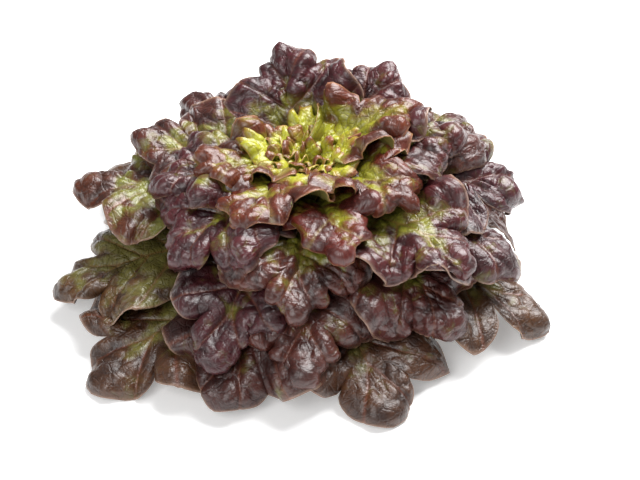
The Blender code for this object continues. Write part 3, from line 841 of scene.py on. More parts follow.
@dataclass
class LeafSurface:
    """One leaf as a fine closed sheet with its veins, blisters and waved margin."""

    MARGIN_HALF = 0.00030
    THINS_FROM = 0.55
    LOWEST = 0.0001
    ROUNDER_FLATNESS = 2.7
    CELL_DRAW = 0.42
    CELL_RISE = 0.7
    FAR_AWAY = 9.0
    GROOVED_FROM = 0.6
    VEIN_COLOUR = 0.45
    VEIN_BELOW = 0.0004
    GROWS_ALONG = (0.05, 0.30)
    GROWS_ACROSS = (-0.12, 0.13)
    CALMS_AT = (0.85, 1.0)
    CALMED = 0.5
    RIM_AT = (0.955, 1.0)
    RED_ALONG = 0.62
    RED_ACROSS = 0.38
    RED_ACROSS_GROWS = (0.1, 0.4)
    RED_BLOTCH = 0.017
    RED_UNEVEN = 0.20
    RED_RAISED = 0.04
    MIDDLE_RAISED = 0.4
    RED_SPREAD = 0.5
    TONES_APART = 5.0

    blade: Blade
    relief: Relief
    bending: np.ndarray | None = None
    columns: int = FAN_STEPS
    finer: int = 6
    vein_plan: VeinPlan = VeinPlan()
    blister_form: BlisterForm = BlisterForm()
    lobe_form: LobeForm = LobeForm()
    margin_form: MarginForm = MarginForm()
    net: Net = field(init=False)
    draw: np.random.Generator = field(init=False)
    among: np.ndarray = field(init=False)
    place: np.ndarray = field(init=False)
    out: np.ndarray = field(init=False)
    plan: np.ndarray = field(init=False)
    points: np.ndarray = field(init=False)
    vein: np.ndarray = field(init=False)
    raised: np.ndarray = field(init=False)

    def __post_init__(self) -> None:
        """Draws the sheet, its veins and its relief."""
        rows_each_lobe = self.finer * ROWS_EACH_LOBE[self.blade.leaf.lobes]
        points, plan = self.blade.grid(self.columns, rows_each_lobe)
        if self.bending is not None:
            coarse_rows, coarse_columns = self.bending.shape[:2]
            along = refining(coarse_rows, points.shape[0])
            across = refining(coarse_columns, points.shape[1])
            points = points + np.einsum("ri,ijk,cj->rck", along, self.bending, across)
        self.net = Net(points.shape[0], self.columns)
        self.draw = np.random.default_rng([self.blade.leaf.draw, len(self.blade.leaf.name)])
        place, self.among = self.blade.rows(rows_each_lobe)
        self.points, self.plan = self.rounded(points), self.rounded(plan)
        self.place = np.repeat(place[:, None], points.shape[1], axis=1)
        steps = np.abs(np.arange(points.shape[1]) - self.columns) / self.columns
        self.out = np.repeat(steps[None, :], points.shape[0], axis=0)
        self.raise_relief()

    def rounded(self, grid: np.ndarray) -> np.ndarray:
        """The grid with its lines drawn in at the sides of each lobe, which rounds the lobes.

        Args:
            grid: the blade's points, bent or flat.

        Returns:
            The points, each still on its own line.
        """
        if self.blade.leaf.lobes == 1:
            return grid
        within = np.abs(self.blade.within(self.among))
        depth = LOBE_DEPTH * smooth_step(0.0, LOBE_GROWS_OVER, self.among)
        lengths = []
        for flatness in (self.ROUNDER_FLATNESS, LOBE_FLATNESS):
            shape = np.maximum(1 - within**flatness, 0.0) ** LOBE_SHOULDER
            lengths.append(1 - depth * (1 - shape))
        share = lengths[0] / lengths[1]
        at = share[:, None] * np.arange(self.columns + 1)
        low = np.minimum(at.astype(int), self.columns - 1)
        t = (at - low)[..., None]
        row = np.arange(len(share))[:, None]
        halves = []
        for half in (grid[:, self.columns :: -1], grid[:, self.columns :]):
            halves.append(half[row, low] * (1 - t) + half[row, low + 1] * t)
        return np.concatenate([halves[0][:, :0:-1], halves[1]], axis=1)

    def cells(self, spots: np.ndarray, size: float) -> np.ndarray:
        """How far spots are from the edges of an uneven net, 0 on an edge and about 1 inside.

        Args:
            spots: points of the flat blade, one in each row.
            size: how far apart the net's openings are.

        Returns:
            One value for each spot.
        """
        low, high = spots.min(axis=0) - size, spots.max(axis=0) + size
        x, y = np.meshgrid(np.arange(low[0], high[0], size), np.arange(low[1], high[1], size))
        seeds = np.stack([x.ravel(), y.ravel()], axis=1)
        seeds = seeds + self.draw.uniform(-self.CELL_DRAW, self.CELL_DRAW, seeds.shape) * size
        distance = np.linalg.norm(spots[:, None] - seeds, axis=2)
        nearest = np.argpartition(distance, 1, axis=1)[:, :2]
        two = np.sort(np.take_along_axis(distance, nearest, axis=1), axis=1)
        return np.clip((two[:, 1] - two[:, 0]) / (self.CELL_RISE * size), 0, 1)

    def margin_run(self) -> np.ndarray:
        """Measures the margin from the tip down both sides.

        Returns:
            For each point, how far along the margin its row ends.
        """
        run = np.zeros(self.place.shape)
        for edge, columns in ((0, slice(0, self.columns + 1)), (-1, slice(self.columns, None))):
            steps = np.linalg.norm(np.diff(self.plan[:, edge], axis=0), axis=1)
            from_tip = np.concatenate([np.cumsum(steps[::-1])[::-1], [0]])
            run[:, columns] = from_tip[:, None]
        return run

    def normals(self) -> np.ndarray:
        """Measures the sheet's slope.

        Returns:
            The way out of the upper face at each point of the grid.
        """
        flat = self.points.reshape(-1, 3)
        faces = np.array(self.net.triangles())
        a, b, c = (flat[faces[:, k]] for k in range(3))
        across = np.cross(b - a, c - a)
        total = np.zeros(flat.shape)
        for k in range(3):
            np.add.at(total, faces[:, k], across)
        total = total[self.net.index().reshape(-1)]
        return unit(total).reshape(self.points.shape)

    def blisters(self, spots: np.ndarray, small: np.ndarray) -> np.ndarray:
        """The leaf's blisters, each rising between veins and falling to the net's edges.

        Args:
            spots: points of the flat blade, one in each row.
            small: how far each spot is from the nearest vein, in shares of its breadth.

        Returns:
            One value for each spot, 0 in the net's lines and about 1 on a blister.
        """
        form, least = self.blister_form, self.relief.least_blistered
        size = self.relief.blister_size * self.draw.uniform(*form.size_draw)
        pillow = 1 - (1 - np.clip(small / form.rises_over, 0, 1)) ** 2
        large = 1 - (1 - self.cells(spots, size)) ** form.roundness
        fine = 1 - (1 - self.cells(spots, form.small_size * size)) ** 2
        turns = form.patch_turns / (form.patch_length * self.relief.wave_length)
        patches = 1.0
        for k in range(2):
            patches = patches * np.sin(turns * spots[:, k] + self.draw.uniform(0, form.patch_turns))
        strength = least + (1 - least) * (0.5 + 0.5 * patches)
        net = form.large_share * large + form.small_share * fine
        net = net * (form.on_veins + (1 - form.on_veins) * pillow)
        return strength * (form.between_veins * pillow + net)

    def lobe_heights(self, within: np.ndarray) -> np.ndarray:
        """How high each point stands by the form of its lobe, crowned or cupped.

        Args:
            within: each row's place in its lobe, from -1 to 1.

        Returns:
            The height at each point, in metres.
        """
        form, sides = self.lobe_form, []
        for _ in range(2):
            forms = self.draw.uniform(form.least, form.most, self.blade.leaf.lobes + 1)
            forms[-1] = form.tip
            sides.append(np.interp(self.among, self.blade.centres(), forms)[:, None])
        left = np.arange(self.place.shape[1]) <= self.columns
        side = np.where(left, sides[0], sides[1])
        crown = smooth_step(*form.crown_rises, self.out)
        crown = crown * (1 - form.crown_lost * smooth_step(*form.crown_falls, self.out))
        crown = self.relief.crown * np.clip(side, 0, None) * (1 - within**2) * crown
        cup = form.cup_in_middle + (1 - form.cup_in_middle) * within**2
        cup = cup * smooth_step(*form.cup_rises, self.out)
        return crown + self.relief.cup * np.clip(-side, 0, None) * cup

    def margin_heights(self, notch: np.ndarray, grown: np.ndarray) -> np.ndarray:
        """How high each point stands by the waves and the roll of the margin.

        Args:
            notch: how near each row is to a notch, from 0 to 1.
            grown: how far the relief has grown at each point, from 0 to 1.

        Returns:
            The height at each point, in metres.
        """
        form, relief, run = self.margin_form, self.relief, self.margin_run()
        turn = 2 * math.pi
        phase = self.draw.uniform(0, turn)
        length = relief.wave_length * self.draw.uniform(*form.length_draw)
        slow = np.sin(turn * run / (form.slow_length * length) + phase)
        wave = np.cos(turn * run / length + form.slow_pull * slow)
        second = turn * run / (form.second_length * length) + form.second_pull * slow + phase
        waved = wave + form.second_share * np.cos(second) + relief.wave_lift
        waved = relief.wave * (form.wave_least + form.wave_swell * slow) * waved
        edge = smooth_step(form.wave_from, 1.0, self.out) * (1 - form.wave_calmed * notch)
        rolled = smooth_step(form.roll_from, 1.0, self.out) ** 2 * (1 - form.roll_calmed * notch)
        rolled = rolled * relief.roll * (form.roll_least + form.roll_swell * slow)
        return grown * (edge * waved - rolled)

    def raise_relief(self) -> None:
        """Raises the blisters and lobes, sinks the veins, and waves and rolls the margin."""
        relief, shape = self.relief, self.place.shape
        spots = self.plan.reshape(-1, 2)
        grooves = np.full(len(spots), self.FAR_AWAY)
        small = np.full(len(spots), self.FAR_AWAY)
        for vein in self.vein_plan.lines(self.plan, self.among, self.blade.leaf.lobes, self.draw):
            away = vein.away(spots) / relief.groove_breadth
            if vein.breadth > self.GROOVED_FROM:
                grooves = np.minimum(grooves, away)
            small = np.minimum(small, away)
        raised = self.blisters(spots, small)
        height = relief.blister * raised - relief.groove * np.exp(-(grooves**2))
        self.vein = np.exp(-((grooves / self.VEIN_COLOUR) ** 2)).reshape(shape)
        grown = smooth_step(*self.GROWS_ALONG, self.place)
        grown = grown * smooth_step(*self.GROWS_ACROSS, self.out)
        calmed = 1 - self.CALMED * smooth_step(*self.CALMS_AT, self.out)
        height = height.reshape(shape) * grown * calmed
        self.raised = np.clip(raised.reshape(shape) * grown, 0, 1)
        within = self.blade.within(self.among)[:, None]
        lobe = smooth_step(0.0, LOBE_GROWS_OVER, self.among)[:, None]
        notch = lobe * np.abs(within) ** self.margin_form.notch_sharpness
        height = height + self.margin_heights(notch, grown)
        height = height + lobe * self.lobe_heights(within)
        index = self.net.index().reshape(-1)
        height = height.reshape(-1)[index].reshape(shape)
        self.points = self.points + height[..., None] * self.normals()

    def thickness(self) -> np.ndarray:
        """Half of the sheet's thickness at each point, thinner towards the margin."""
        thinner = smooth_step(self.THINS_FROM, 1.0, self.out)
        return 0.5 * BLADE_THICKNESS * (1 - thinner) + self.MARGIN_HALF * thinner

    def rib(self) -> np.ndarray:
        """Measures the rib.

        Returns:
            How far it stands out from the lower face at each point.
        """
        foot = float(np.linalg.norm(self.points[0, self.columns, :2]))
        breadth = self.out * (FOOT_SHARE * foot + RIB_SPREAD * self.place) / RIB_HALF_WIDTH
        taper = np.clip(1 - self.place, 0, 1) ** RIB_TAPER
        return RIB_THICKNESS * min(1.0, foot / CUT_RADIUS) * taper * np.exp(-(breadth**2))

    def blush(self) -> np.ndarray:
        """Spreads the red from the lobes towards the midrib.

        Returns:
            How far the red has come over the green at each point, from 0 to 1.
        """
        share = np.clip(self.plan[..., 0] / self.plan[..., 0].max(), 0, 1)
        across = self.out * smooth_step(*self.RED_ACROSS_GROWS, share)
        come = self.RED_ALONG * share + self.RED_ACROSS * across
        blotches = self.cells(self.plan.reshape(-1, 2), self.RED_BLOTCH).reshape(share.shape)
        come = come + self.RED_UNEVEN * (blotches - 0.5)
        come = come + self.RED_RAISED * (self.raised - self.MIDDLE_RAISED)
        return np.clip((come - self.blade.leaf.green) / self.RED_SPREAD + 0.5, 0, 1)

    def solid(self) -> dict[str, np.ndarray]:
        """The closed leaf.

        Returns:
            Its points, its faces of four and of three corners, and its point values by name.
        """
        rows, width = self.place.shape
        count = rows * width
        normal = self.normals()
        half = self.thickness()[..., None]
        below_half = half + self.rib()[..., None] + self.VEIN_BELOW * self.vein[..., None]
        upper = self.points + half * normal
        lower = self.points - below_half * normal
        for face, least in ((upper, self.LOWEST + 2 * self.MARGIN_HALF), (lower, self.LOWEST)):
            face[..., 2] = np.maximum(face[..., 2], least)
        quads, tip = self.net.quads(), np.array(self.net.tip())
        rim = np.array(self.net.rim())
        after = np.roll(rim, -1)
        walls = np.stack([rim, rim + count, after + count, after], axis=1)
        apart = np.full((rows, width, 1), self.draw.uniform(0.0, self.TONES_APART))
        values = {
            "blush": self.blush(),
            "vein": self.vein,
            "raised": self.raised,
            "rim": smooth_step(*self.RIM_AT, self.out),
        }
        plan = np.concatenate([self.plan, apart], axis=2).reshape(-1, 3)
        return {
            "points": np.concatenate([upper.reshape(-1, 3), lower.reshape(-1, 3)]),
            "quads": np.concatenate([quads, quads[:, ::-1] + count, walls]),
            "triangles": np.concatenate([tip, tip[:, ::-1] + count]),
            "plan": np.concatenate([plan, plan]),
            "under": np.repeat([0.0, 1.0], count),
            **{name: np.tile(value.reshape(-1), 2) for name, value in values.items()},
        }


def show(name: str, mesh: bpy.types.Mesh) -> bpy.types.Object:
    """Makes a mesh into an object of the scene.

    Args:
        name: the object's name.
        mesh: its mesh.

    Returns:
        The object.
    """
    made = bpy.data.objects.new(name, mesh)
    bpy.context.scene.collection.objects.link(made)
    return made


def put_in_place(piece: bpy.types.Object, node: str, finish: bpy.types.Material) -> None:
    """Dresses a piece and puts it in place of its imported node.

    Args:
        piece: the piece.
        node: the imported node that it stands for.
        finish: the piece's material.
    """
    piece.data.materials.append(finish)
    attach(piece, "root")
    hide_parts(node)
    LOG.info("%s: %d faces", piece.name, len(piece.data.polygons))


def make_mesh(name: str, solids: list[dict[str, np.ndarray]]) -> bpy.types.Object:
    """Makes one smooth-shaded object from closed leaves, without its unused points.

    Args:
        name: the object's name.
        solids: what LeafSurface.solid gave for each leaf.

    Returns:
        The object, linked to the scene.
    """
    offset, faces, joined = 0, [], {}
    for solid in solids:
        faces += (solid["quads"] + offset).tolist() + (solid["triangles"] + offset).tolist()
        offset += len(solid["points"])
    for key in solids[0]:
        if key not in ("quads", "triangles"):
            joined[key] = np.concatenate([solid[key] for solid in solids])
    points = joined.pop("points")
    used = np.zeros(len(points), bool)
    used[np.concatenate([np.array(face) for face in faces])] = True
    number = np.cumsum(used) - 1
    faces = [tuple(int(number[v]) for v in face) for face in faces]
    mesh = bpy.data.meshes.new(name)
    mesh.from_pydata(points[used].tolist(), [], faces)
    for key, value in joined.items():
        kind, part = ("FLOAT_VECTOR", "vector") if value.ndim == 2 else ("FLOAT", "value")
        attribute = mesh.attributes.new(key, kind, "POINT")
        attribute.data.foreach_set(part, value[used].astype(np.float32).ravel())
    mesh.shade_smooth()
    return show(name, mesh)


class Sockets:
    """A node tree with short ways to add nodes and join them."""

    MIX_INPUTS = (0, 6, 7)
    MIX_OUTPUT = 2

    def __init__(self, tree: bpy.types.NodeTree) -> None:
        """Takes the tree that the nodes are added to."""
        self.tree = tree

    def add(self, kind: str, **settings: object) -> bpy.types.Node:
        """Adds a node.

        Args:
            kind: the node's type.
            settings: its properties by name.

        Returns:
            The node.
        """
        node = self.tree.nodes.new(kind)
        for name, value in settings.items():
            setattr(node, name, value)
        return node

    def join(self, source: bpy.types.NodeSocket, target: bpy.types.NodeSocket) -> None:
        """Joins an output to an input."""
        self.tree.links.new(source, target)

    def fill(self, target: bpy.types.NodeSocket, value: object) -> None:
        """Joins an output to an input, or sets the input to a number or a colour.

        Args:
            target: the input.
            value: an output, a number, or linear red, green and blue.
        """
        if isinstance(value, bpy.types.NodeSocket):
            self.join(value, target)
        elif isinstance(value, tuple):
            target.default_value = (*value, 1.0)
        else:
            target.default_value = value

    def math(self, operation: str, first: object, second: object = 0.0) -> bpy.types.NodeSocket:
        """Adds a Math node on two values, each an output or a number.

        Args:
            operation: the Math node's operation.
            first: its first value.
            second: its second value.

        Returns:
            The node's output.
        """
        node = self.add("ShaderNodeMath", operation=operation)
        for target, value in zip(node.inputs, (first, second)):
            self.fill(target, value)
        return node.outputs[0]

    def total(self, *values: object) -> bpy.types.NodeSocket:
        """Adds up two or more values.

        Args:
            values: outputs or numbers.

        Returns:
            Their sum.
        """
        found = values[0]
        for value in values[1:]:
            found = self.math("ADD", found, value)
        return found

    def times(self, first: object, second: object) -> bpy.types.NodeSocket:
        """Multiplies two values."""
        return self.math("MULTIPLY", first, second)

    def mix(self, share: object, first: object, second: object) -> bpy.types.NodeSocket:
        """Mixes two colours.

        Args:
            share: how far towards the second, an output or a number.
            first: a colour, as an output or as linear red, green and blue.
            second: the other colour.

        Returns:
            The mixed colour.
        """
        node = self.add("ShaderNodeMix", data_type="RGBA")
        for place, value in zip(self.MIX_INPUTS, (share, first, second)):
            self.fill(node.inputs[place], value)
        return node.outputs[self.MIX_OUTPUT]

    def ramp(self, value: object, low: float, high: float) -> bpy.types.NodeSocket:
        """Eases a value from 0 at low to 1 at high.

        Args:
            value: the output to be eased.
            low: where the rise starts.
            high: where it ends.

        Returns:
            The eased value.
        """
        node = self.add("ShaderNodeMapRange", interpolation_type="SMOOTHSTEP")
        self.join(value, node.inputs["Value"])
        node.inputs["From Min"].default_value = low
        node.inputs["From Max"].default_value = high
        return node.outputs["Result"]

    def read(self, name: str, output: str = "Fac") -> bpy.types.NodeSocket:
        """Reads a named value of the mesh."""
        return self.add("ShaderNodeAttribute", attribute_name=name).outputs[output]

    def noise(
        self, vector: bpy.types.NodeSocket, scale: float, detail: float = 3.0, output: str = "Fac"
    ) -> bpy.types.NodeSocket:
        """Adds a noise over a position.

        Args:
            vector: the position.
            scale: how many features there are to a metre.
            detail: how many finer layers there are.
            output: which of the node's outputs is wanted.

        Returns:
            The noise, from 0 to 1.
        """
        node = self.add("ShaderNodeTexNoise")
        self.join(vector, node.inputs["Vector"])
        node.inputs["Scale"].default_value = scale
        node.inputs["Detail"].default_value = detail
        return node.outputs[output]

    def net(self, vector: bpy.types.NodeSocket, scale: float) -> bpy.types.NodeSocket:
        """Adds the distance to the edges of an uneven net over a position.

        Args:
            vector: the position.
            scale: how many openings there are to a metre.

        Returns:
            The distance, 0 on an edge.
        """
        node = self.add("ShaderNodeTexVoronoi", feature="DISTANCE_TO_EDGE", voronoi_dimensions="2D")
        self.join(vector, node.inputs["Vector"])
        node.inputs["Scale"].default_value = scale
        return node.outputs["Distance"]

    def bump(
        self, height: bpy.types.NodeSocket, strength: float, distance: float
    ) -> bpy.types.NodeSocket:
        """Adds a bump.

        Args:
            height: the height that it follows.
            strength: how much of it shows.
            distance: how far a height of one stands out, in metres.

        Returns:
            The bumped normal.
        """
        node = self.add("ShaderNodeBump")
        node.inputs["Strength"].default_value = strength
        node.inputs["Distance"].default_value = distance
        self.join(height, node.inputs["Height"])
        return node.outputs["Normal"]


def start_material(name: str) -> tuple[bpy.types.Material, Sockets, bpy.types.Node]:
    """Starts a material.

    Args:
        name: the material's name.

    Returns:
        The material, its nodes and its shader.
    """
    made = bpy.data.materials.new(name)
    made.use_nodes = True
    return made, Sockets(made.node_tree), made.node_tree.nodes["Principled BSDF"]


@dataclass
class SharedGroups:
    """The node groups that every leaf's finish uses, each built once."""

    bend_scale: float = 160.0
    bend_detail: float = 2.0
    bend_reach: float = 0.0035
    wide_net: float = 190.0
    wide_line: float = 0.16
    wide_height: float = 0.6
    fine_net: float = 520.0
    fine_line: float = 0.20
    fine_height: float = 0.25
    grain_scale: float = 900.0
    grain_detail: float = 4.0
    grain_height: float = 0.25
    mottle_scale: float = 70.0
    mottle_detail: float = 5.0
    mottle_deepens: float = 2.6
    # painted light: how much lighter blister tops are drawn than the hollows between them, which
    # read as painted shade
    painted_blister_light: float = 0.5
    deep_range: tuple[float, float] = (-0.6, 0.4)
    mottle_reddens: float = 2.4
    net_greens: float = 0.10
    red_range: tuple[float, float] = (0.20, 0.80)
    vein_shows: float = 0.45
    net_shows: float = 0.30
    rim_shows: float = 0.65
    under_shows: float = 0.72
    skin: bpy.types.NodeTree = field(init=False)
    tone: bpy.types.NodeTree = field(init=False)

    def __post_init__(self) -> None:
        """Builds the groups."""
        self.skin = self.build_skin()
        self.tone = self.build_tone()

    def start(
        self, name: str, inputs: dict[str, str], outputs: dict[str, str]
    ) -> tuple[bpy.types.NodeTree, Sockets, bpy.types.Node, bpy.types.Node]:
        """Starts a group.

        Args:
            name: the group's name.
            inputs: each input's name and kind of socket.
            outputs: each output's name and kind of socket.

        Returns:
            The group, its nodes, its input node and its output node.
        """
        group = bpy.data.node_groups.new(name, "ShaderNodeTree")
        for side, sockets in (("INPUT", inputs), ("OUTPUT", outputs)):
            for label, kind in sockets.items():
                group.interface.new_socket(label, in_out=side, socket_type=kind)
        nodes = Sockets(group)
        return group, nodes, nodes.add("NodeGroupInput"), nodes.add("NodeGroupOutput")

    def build_skin(self) -> bpy.types.NodeTree:
        """The leaf's fine net of veins and its skin.

        Returns:
            The group, which puts out a height, the net and a mottle over the flat blade.
        """
        outputs = dict.fromkeys(("Height", "Net", "Mottle"), "NodeSocketFloat")
        group, nodes, given, made = self.start("leaf skin", {"Plan": "NodeSocketVector"}, outputs)
        plan = given.outputs["Plan"]
        shift = nodes.add("ShaderNodeVectorMath", operation="SCALE")
        nodes.join(nodes.noise(plan, self.bend_scale, self.bend_detail, "Color"), shift.inputs[0])
        shift.inputs["Scale"].default_value = self.bend_reach
        moved = nodes.add("ShaderNodeVectorMath", operation="ADD")
        nodes.join(plan, moved.inputs[0])
        nodes.join(shift.outputs[0], moved.inputs[1])
        wide = nodes.ramp(nodes.net(moved.outputs[0], self.wide_net), 0.0, self.wide_line)
        fine = nodes.ramp(nodes.net(moved.outputs[0], self.fine_net), 0.0, self.fine_line)
        grain = nodes.noise(plan, self.grain_scale, self.grain_detail)
        height = nodes.total(
            nodes.times(wide, self.wide_height),
            nodes.times(fine, self.fine_height),
            nodes.times(grain, self.grain_height),
        )
        nodes.join(height, made.inputs["Height"])
        nodes.join(nodes.math("SUBTRACT", 1.0, wide), made.inputs["Net"])
        nodes.join(nodes.noise(plan, self.mottle_scale, self.mottle_detail), made.inputs["Mottle"])
        return group

    def build_tone(self) -> bpy.types.NodeTree:
        """The leaf's colour from its red, green, veins and mottle, and painted shade between
        blisters.

        Returns:
            The group, which puts out a colour.
        """
        colours = ("Red", "Deep", "Green", "Vein", "Edge", "Under")
        masks = ("Blush", "Veins", "Net", "Raised", "Mottle", "Rim", "Below")
        inputs = dict.fromkeys(colours, "NodeSocketColor")
        inputs.update(dict.fromkeys(masks, "NodeSocketFloat"))
        group, nodes, given, made = self.start("leaf tone", inputs, {"Color": "NodeSocketColor"})
        value = given.outputs
        mottle = nodes.math("SUBTRACT", value["Mottle"], 0.5)
        # deepness is the mottle's random tone less painted light on blister tops, so the hollows
        # between blisters get painted shade
        deepness = nodes.math(
            "SUBTRACT",
            nodes.times(mottle, self.mottle_deepens),
            nodes.times(value["Raised"], self.painted_blister_light),
        )
        red = nodes.mix(nodes.ramp(deepness, *self.deep_range), value["Red"], value["Deep"])
        blush = nodes.total(
            value["Blush"],
            nodes.times(mottle, self.mottle_reddens),
            nodes.times(value["Net"], -self.net_greens),
        )
        base = nodes.mix(nodes.ramp(blush, *self.red_range), value["Green"], red)
        for mask, shows, colour in (
            ("Veins", self.vein_shows, "Vein"),
            ("Net", self.net_shows, "Deep"),
            ("Rim", self.rim_shows, "Edge"),
        ):
            base = nodes.mix(nodes.times(value[mask], shows), base, value[colour])
        below = nodes.mix(self.under_shows, base, value["Under"])
        nodes.join(nodes.mix(value["Below"], base, below), made.inputs["Color"])
        return group


@dataclass(frozen=True)
class LeafFinish:
    """A ring's finish: the colours of its leaves and how they shine."""

    purple: str = "451b23"
    purple_deep: str = "240a0e"
    brown: str = "572a14"
    brown_deep: str = "2e1308"
    green: str = "70702a"
    vein: str = "7c4430"
    edge: str = "ad8c78"
    under: str = "5a4632"
    roughness: float = 0.37
    uneven_roughness: float = 0.35
    rougher_below: float = 0.22
    specular: float = 0.48
    coat: float = 0.36
    coat_roughness: float = 0.24
    subsurface: float = 0.06
    subsurface_radius: tuple[float, float, float] = (0.9, 0.9, 0.3)
    subsurface_scale: float = 0.0015
    relief: float = 0.0006
    relief_shows: float = 0.7

    def material(self, name: str, brown: float, groups: SharedGroups) -> bpy.types.Material:
        """Makes the finish for one leaf.

        Args:
            name: the material's name.
            brown: how brown the leaf's red is, from 0 for purple to 1.
            groups: the shared node groups.

        Returns:
            The material.
        """
        made, nodes, shader = start_material(name)
        skin = nodes.add("ShaderNodeGroup", node_tree=groups.skin)
        nodes.join(nodes.read("plan", "Vector"), skin.inputs["Plan"])
        tone = nodes.add("ShaderNodeGroup", node_tree=groups.tone)
        given = {
            "Red": blended(self.purple, self.brown, brown),
            "Deep": blended(self.purple_deep, self.brown_deep, brown),
            "Green": linear(self.green),
            "Vein": linear(self.vein),
            "Edge": linear(self.edge),
            "Under": linear(self.under),
            "Blush": nodes.read("blush"),
            "Veins": nodes.read("vein"),
            "Raised": nodes.read("raised"),
            "Rim": nodes.read("rim"),
            "Below": nodes.read("under"),
            "Net": skin.outputs["Net"],
            "Mottle": skin.outputs["Mottle"],
        }
        for label, value in given.items():
            nodes.fill(tone.inputs[label], value)
        nodes.join(tone.outputs["Color"], shader.inputs["Base Color"])
        mottle = nodes.math("SUBTRACT", skin.outputs["Mottle"], 0.5)
        rough = nodes.total(
            nodes.times(mottle, self.uneven_roughness),
            nodes.times(nodes.read("under"), self.rougher_below),
            self.roughness,
        )
        nodes.join(rough, shader.inputs["Roughness"])
        shader.inputs["Specular IOR Level"].default_value = self.specular
        shader.inputs["Coat Weight"].default_value = self.coat
        shader.inputs["Coat Roughness"].default_value = self.coat_roughness
        shader.inputs["Subsurface Weight"].default_value = self.subsurface
        shader.inputs["Subsurface Radius"].default_value = self.subsurface_radius
        shader.inputs["Subsurface Scale"].default_value = self.subsurface_scale
        bumped = nodes.bump(skin.outputs["Height"], self.relief_shows, self.relief)
        nodes.join(bumped, shader.inputs["Normal"])
        return made


RING_FINISHES = {
    Ring.GROUND: LeafFinish(
        purple="401a1a",
        purple_deep="240b0b",
        brown="573a20",
        brown_deep="2e190a",
        green="68622f",
        coat=0.26,
    ),
    Ring.OUTER: LeafFinish(),
    Ring.MIDDLE: LeafFinish(purple="4d1c24", purple_deep="280b10", green="7a782a"),
    Ring.INNER: LeafFinish(
        purple="5e1d1a",
        purple_deep="380f0e",
        brown="6e3c19",
        brown_deep="48220c",
        green="8a8826",
        vein="8a7640",
        edge="c08a68",
        under="808040",
        subsurface=0.12,
    ),
    Ring.HEART: LeafFinish(
        purple="7d3c28",
        purple_deep="5a281a",
        brown="8a5a2c",
        brown_deep="6d3f20",
        green="a6a62c",
        vein="c8c878",
        edge="b8845c",
        under="a2a83e",
        subsurface=0.2,
    ),
}
RING_RELIEFS = {
    Ring.GROUND: Relief(blister=0.0026, blister_size=0.0140, crown=0.0042, wave_length=0.036),
    Ring.OUTER: Relief(),
    Ring.MIDDLE: Relief(blister_size=0.0118),
    Ring.INNER: Relief(
        blister=0.0026,
        blister_size=0.0085,
        crown=0.0026,
        cup=0.0110,
        wave=0.0056,
        wave_lift=0.7,
        wave_length=0.021,
        groove_breadth=0.0026,
    ),
    Ring.HEART: Relief(
        blister=0.0016,
        blister_size=0.0065,
        crown=0.0020,
        cup=0.0050,
        wave=0.0036,
        wave_length=0.012,
        groove=0.0005,
        groove_breadth=0.0016,
        roll=0.0012,
    ),
}
RING_FINENESS = {Ring.GROUND: 6, Ring.OUTER: 6, Ring.MIDDLE: 6, Ring.INNER: 9, Ring.HEART: 8}


@dataclass
class LargeLeaves:
    """The four rings of large leaves, each leaf its own piece."""

    frame: dict
    groups: SharedGroups

    def foot_height(self, leaf: Leaf) -> float:
        """How high on the stem a leaf grows."""
        share = LARGE_LEAVES.index(leaf) / (FOOT_PLACES - 1)
        return FIRST_FOOT_HEIGHT + (LAST_FOOT_HEIGHT - FIRST_FOOT_HEIGHT) * share

    def ring(self, leaf: Leaf) -> Ring:
        """The ring that a leaf is in."""
        return Ring(leaf.name.rsplit("_", 1)[0])

    def build(self) -> None:
        """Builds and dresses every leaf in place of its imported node."""
        for leaf in LARGE_LEAVES:
            ring = self.ring(leaf)
            blade = Blade(leaf, self.foot_height(leaf), FOOT_GAP)
            bending = PackedSheet(blade, self.frame["nodes"][leaf.name]).bending()
            surface = LeafSurface(blade, RING_RELIEFS[ring], bending, finer=RING_FINENESS[ring])
            piece = make_mesh(f"dressed_{leaf.name}", [surface.solid()])
            finish = RING_FINISHES[ring].material(leaf.name, leaf.brown, self.groups)
            put_in_place(piece, leaf.name, finish)


@dataclass
class Heart:
    """The growing point: its small crinkled leaves round a slim core, in one piece.

    A pair of sizes is that of the first leaf, the lowest and widest, and that of the last.
    """

    groups: SharedGroups
    leaves: int = 19
    sink: float = 0.0016
    core_shares: tuple[float, float] = (0.20, 0.92)
    golden_angle: float = 137.508
    first_azimuth: float = 262.0
    reach: tuple[float, float] = (0.046, 0.009)
    height: tuple[float, float] = (0.098, 0.094)
    rise: tuple[float, float] = (66.0, 84.0)
    droop: tuple[float, float] = (-10.0, 70.0)
    width: tuple[float, float] = (0.044, 0.018)
    curl: float = -40.0
    first_draw: int = 900
    green: float = 0.80
    brown: float = 0.5
    columns: int = 15

    def leaf(self, number: int) -> Leaf:
        """One of the small leaves.

        Args:
            number: its number from the lowest, from 0.

        Returns:
            The leaf.
        """
        share = number / (self.leaves - 1)
        pairs = (self.reach, self.height, self.rise, self.droop, self.width)
        sizes = [first + (last - first) * share for first, last in pairs]
        azimuth = self.first_azimuth + self.golden_angle * number
        return Leaf(
            f"heart_leaf_{number:02d}",
            azimuth,
            *sizes,
            curl=self.curl,
            lobes=1,
            draw=self.first_draw + number,
            green=self.green,
        )

    def build(self) -> None:
        """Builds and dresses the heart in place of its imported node."""
        first, last = self.core_shares
        relief, finer = RING_RELIEFS[Ring.HEART], RING_FINENESS[Ring.HEART]
        solids = []
        for number in range(self.leaves):
            share = first + (last - first) * number / self.leaves
            height = STEM_TOP_HEIGHT + CORE_HEIGHT * share
            blade = Blade(self.leaf(number), height, -self.sink)
            solids.append(LeafSurface(blade, relief, None, self.columns, finer).solid())
        piece = make_mesh("dressed_heart", solids)
        finish = RING_FINISHES[Ring.HEART].material("heart", self.brown, self.groups)
        put_in_place(piece, "heart", finish)


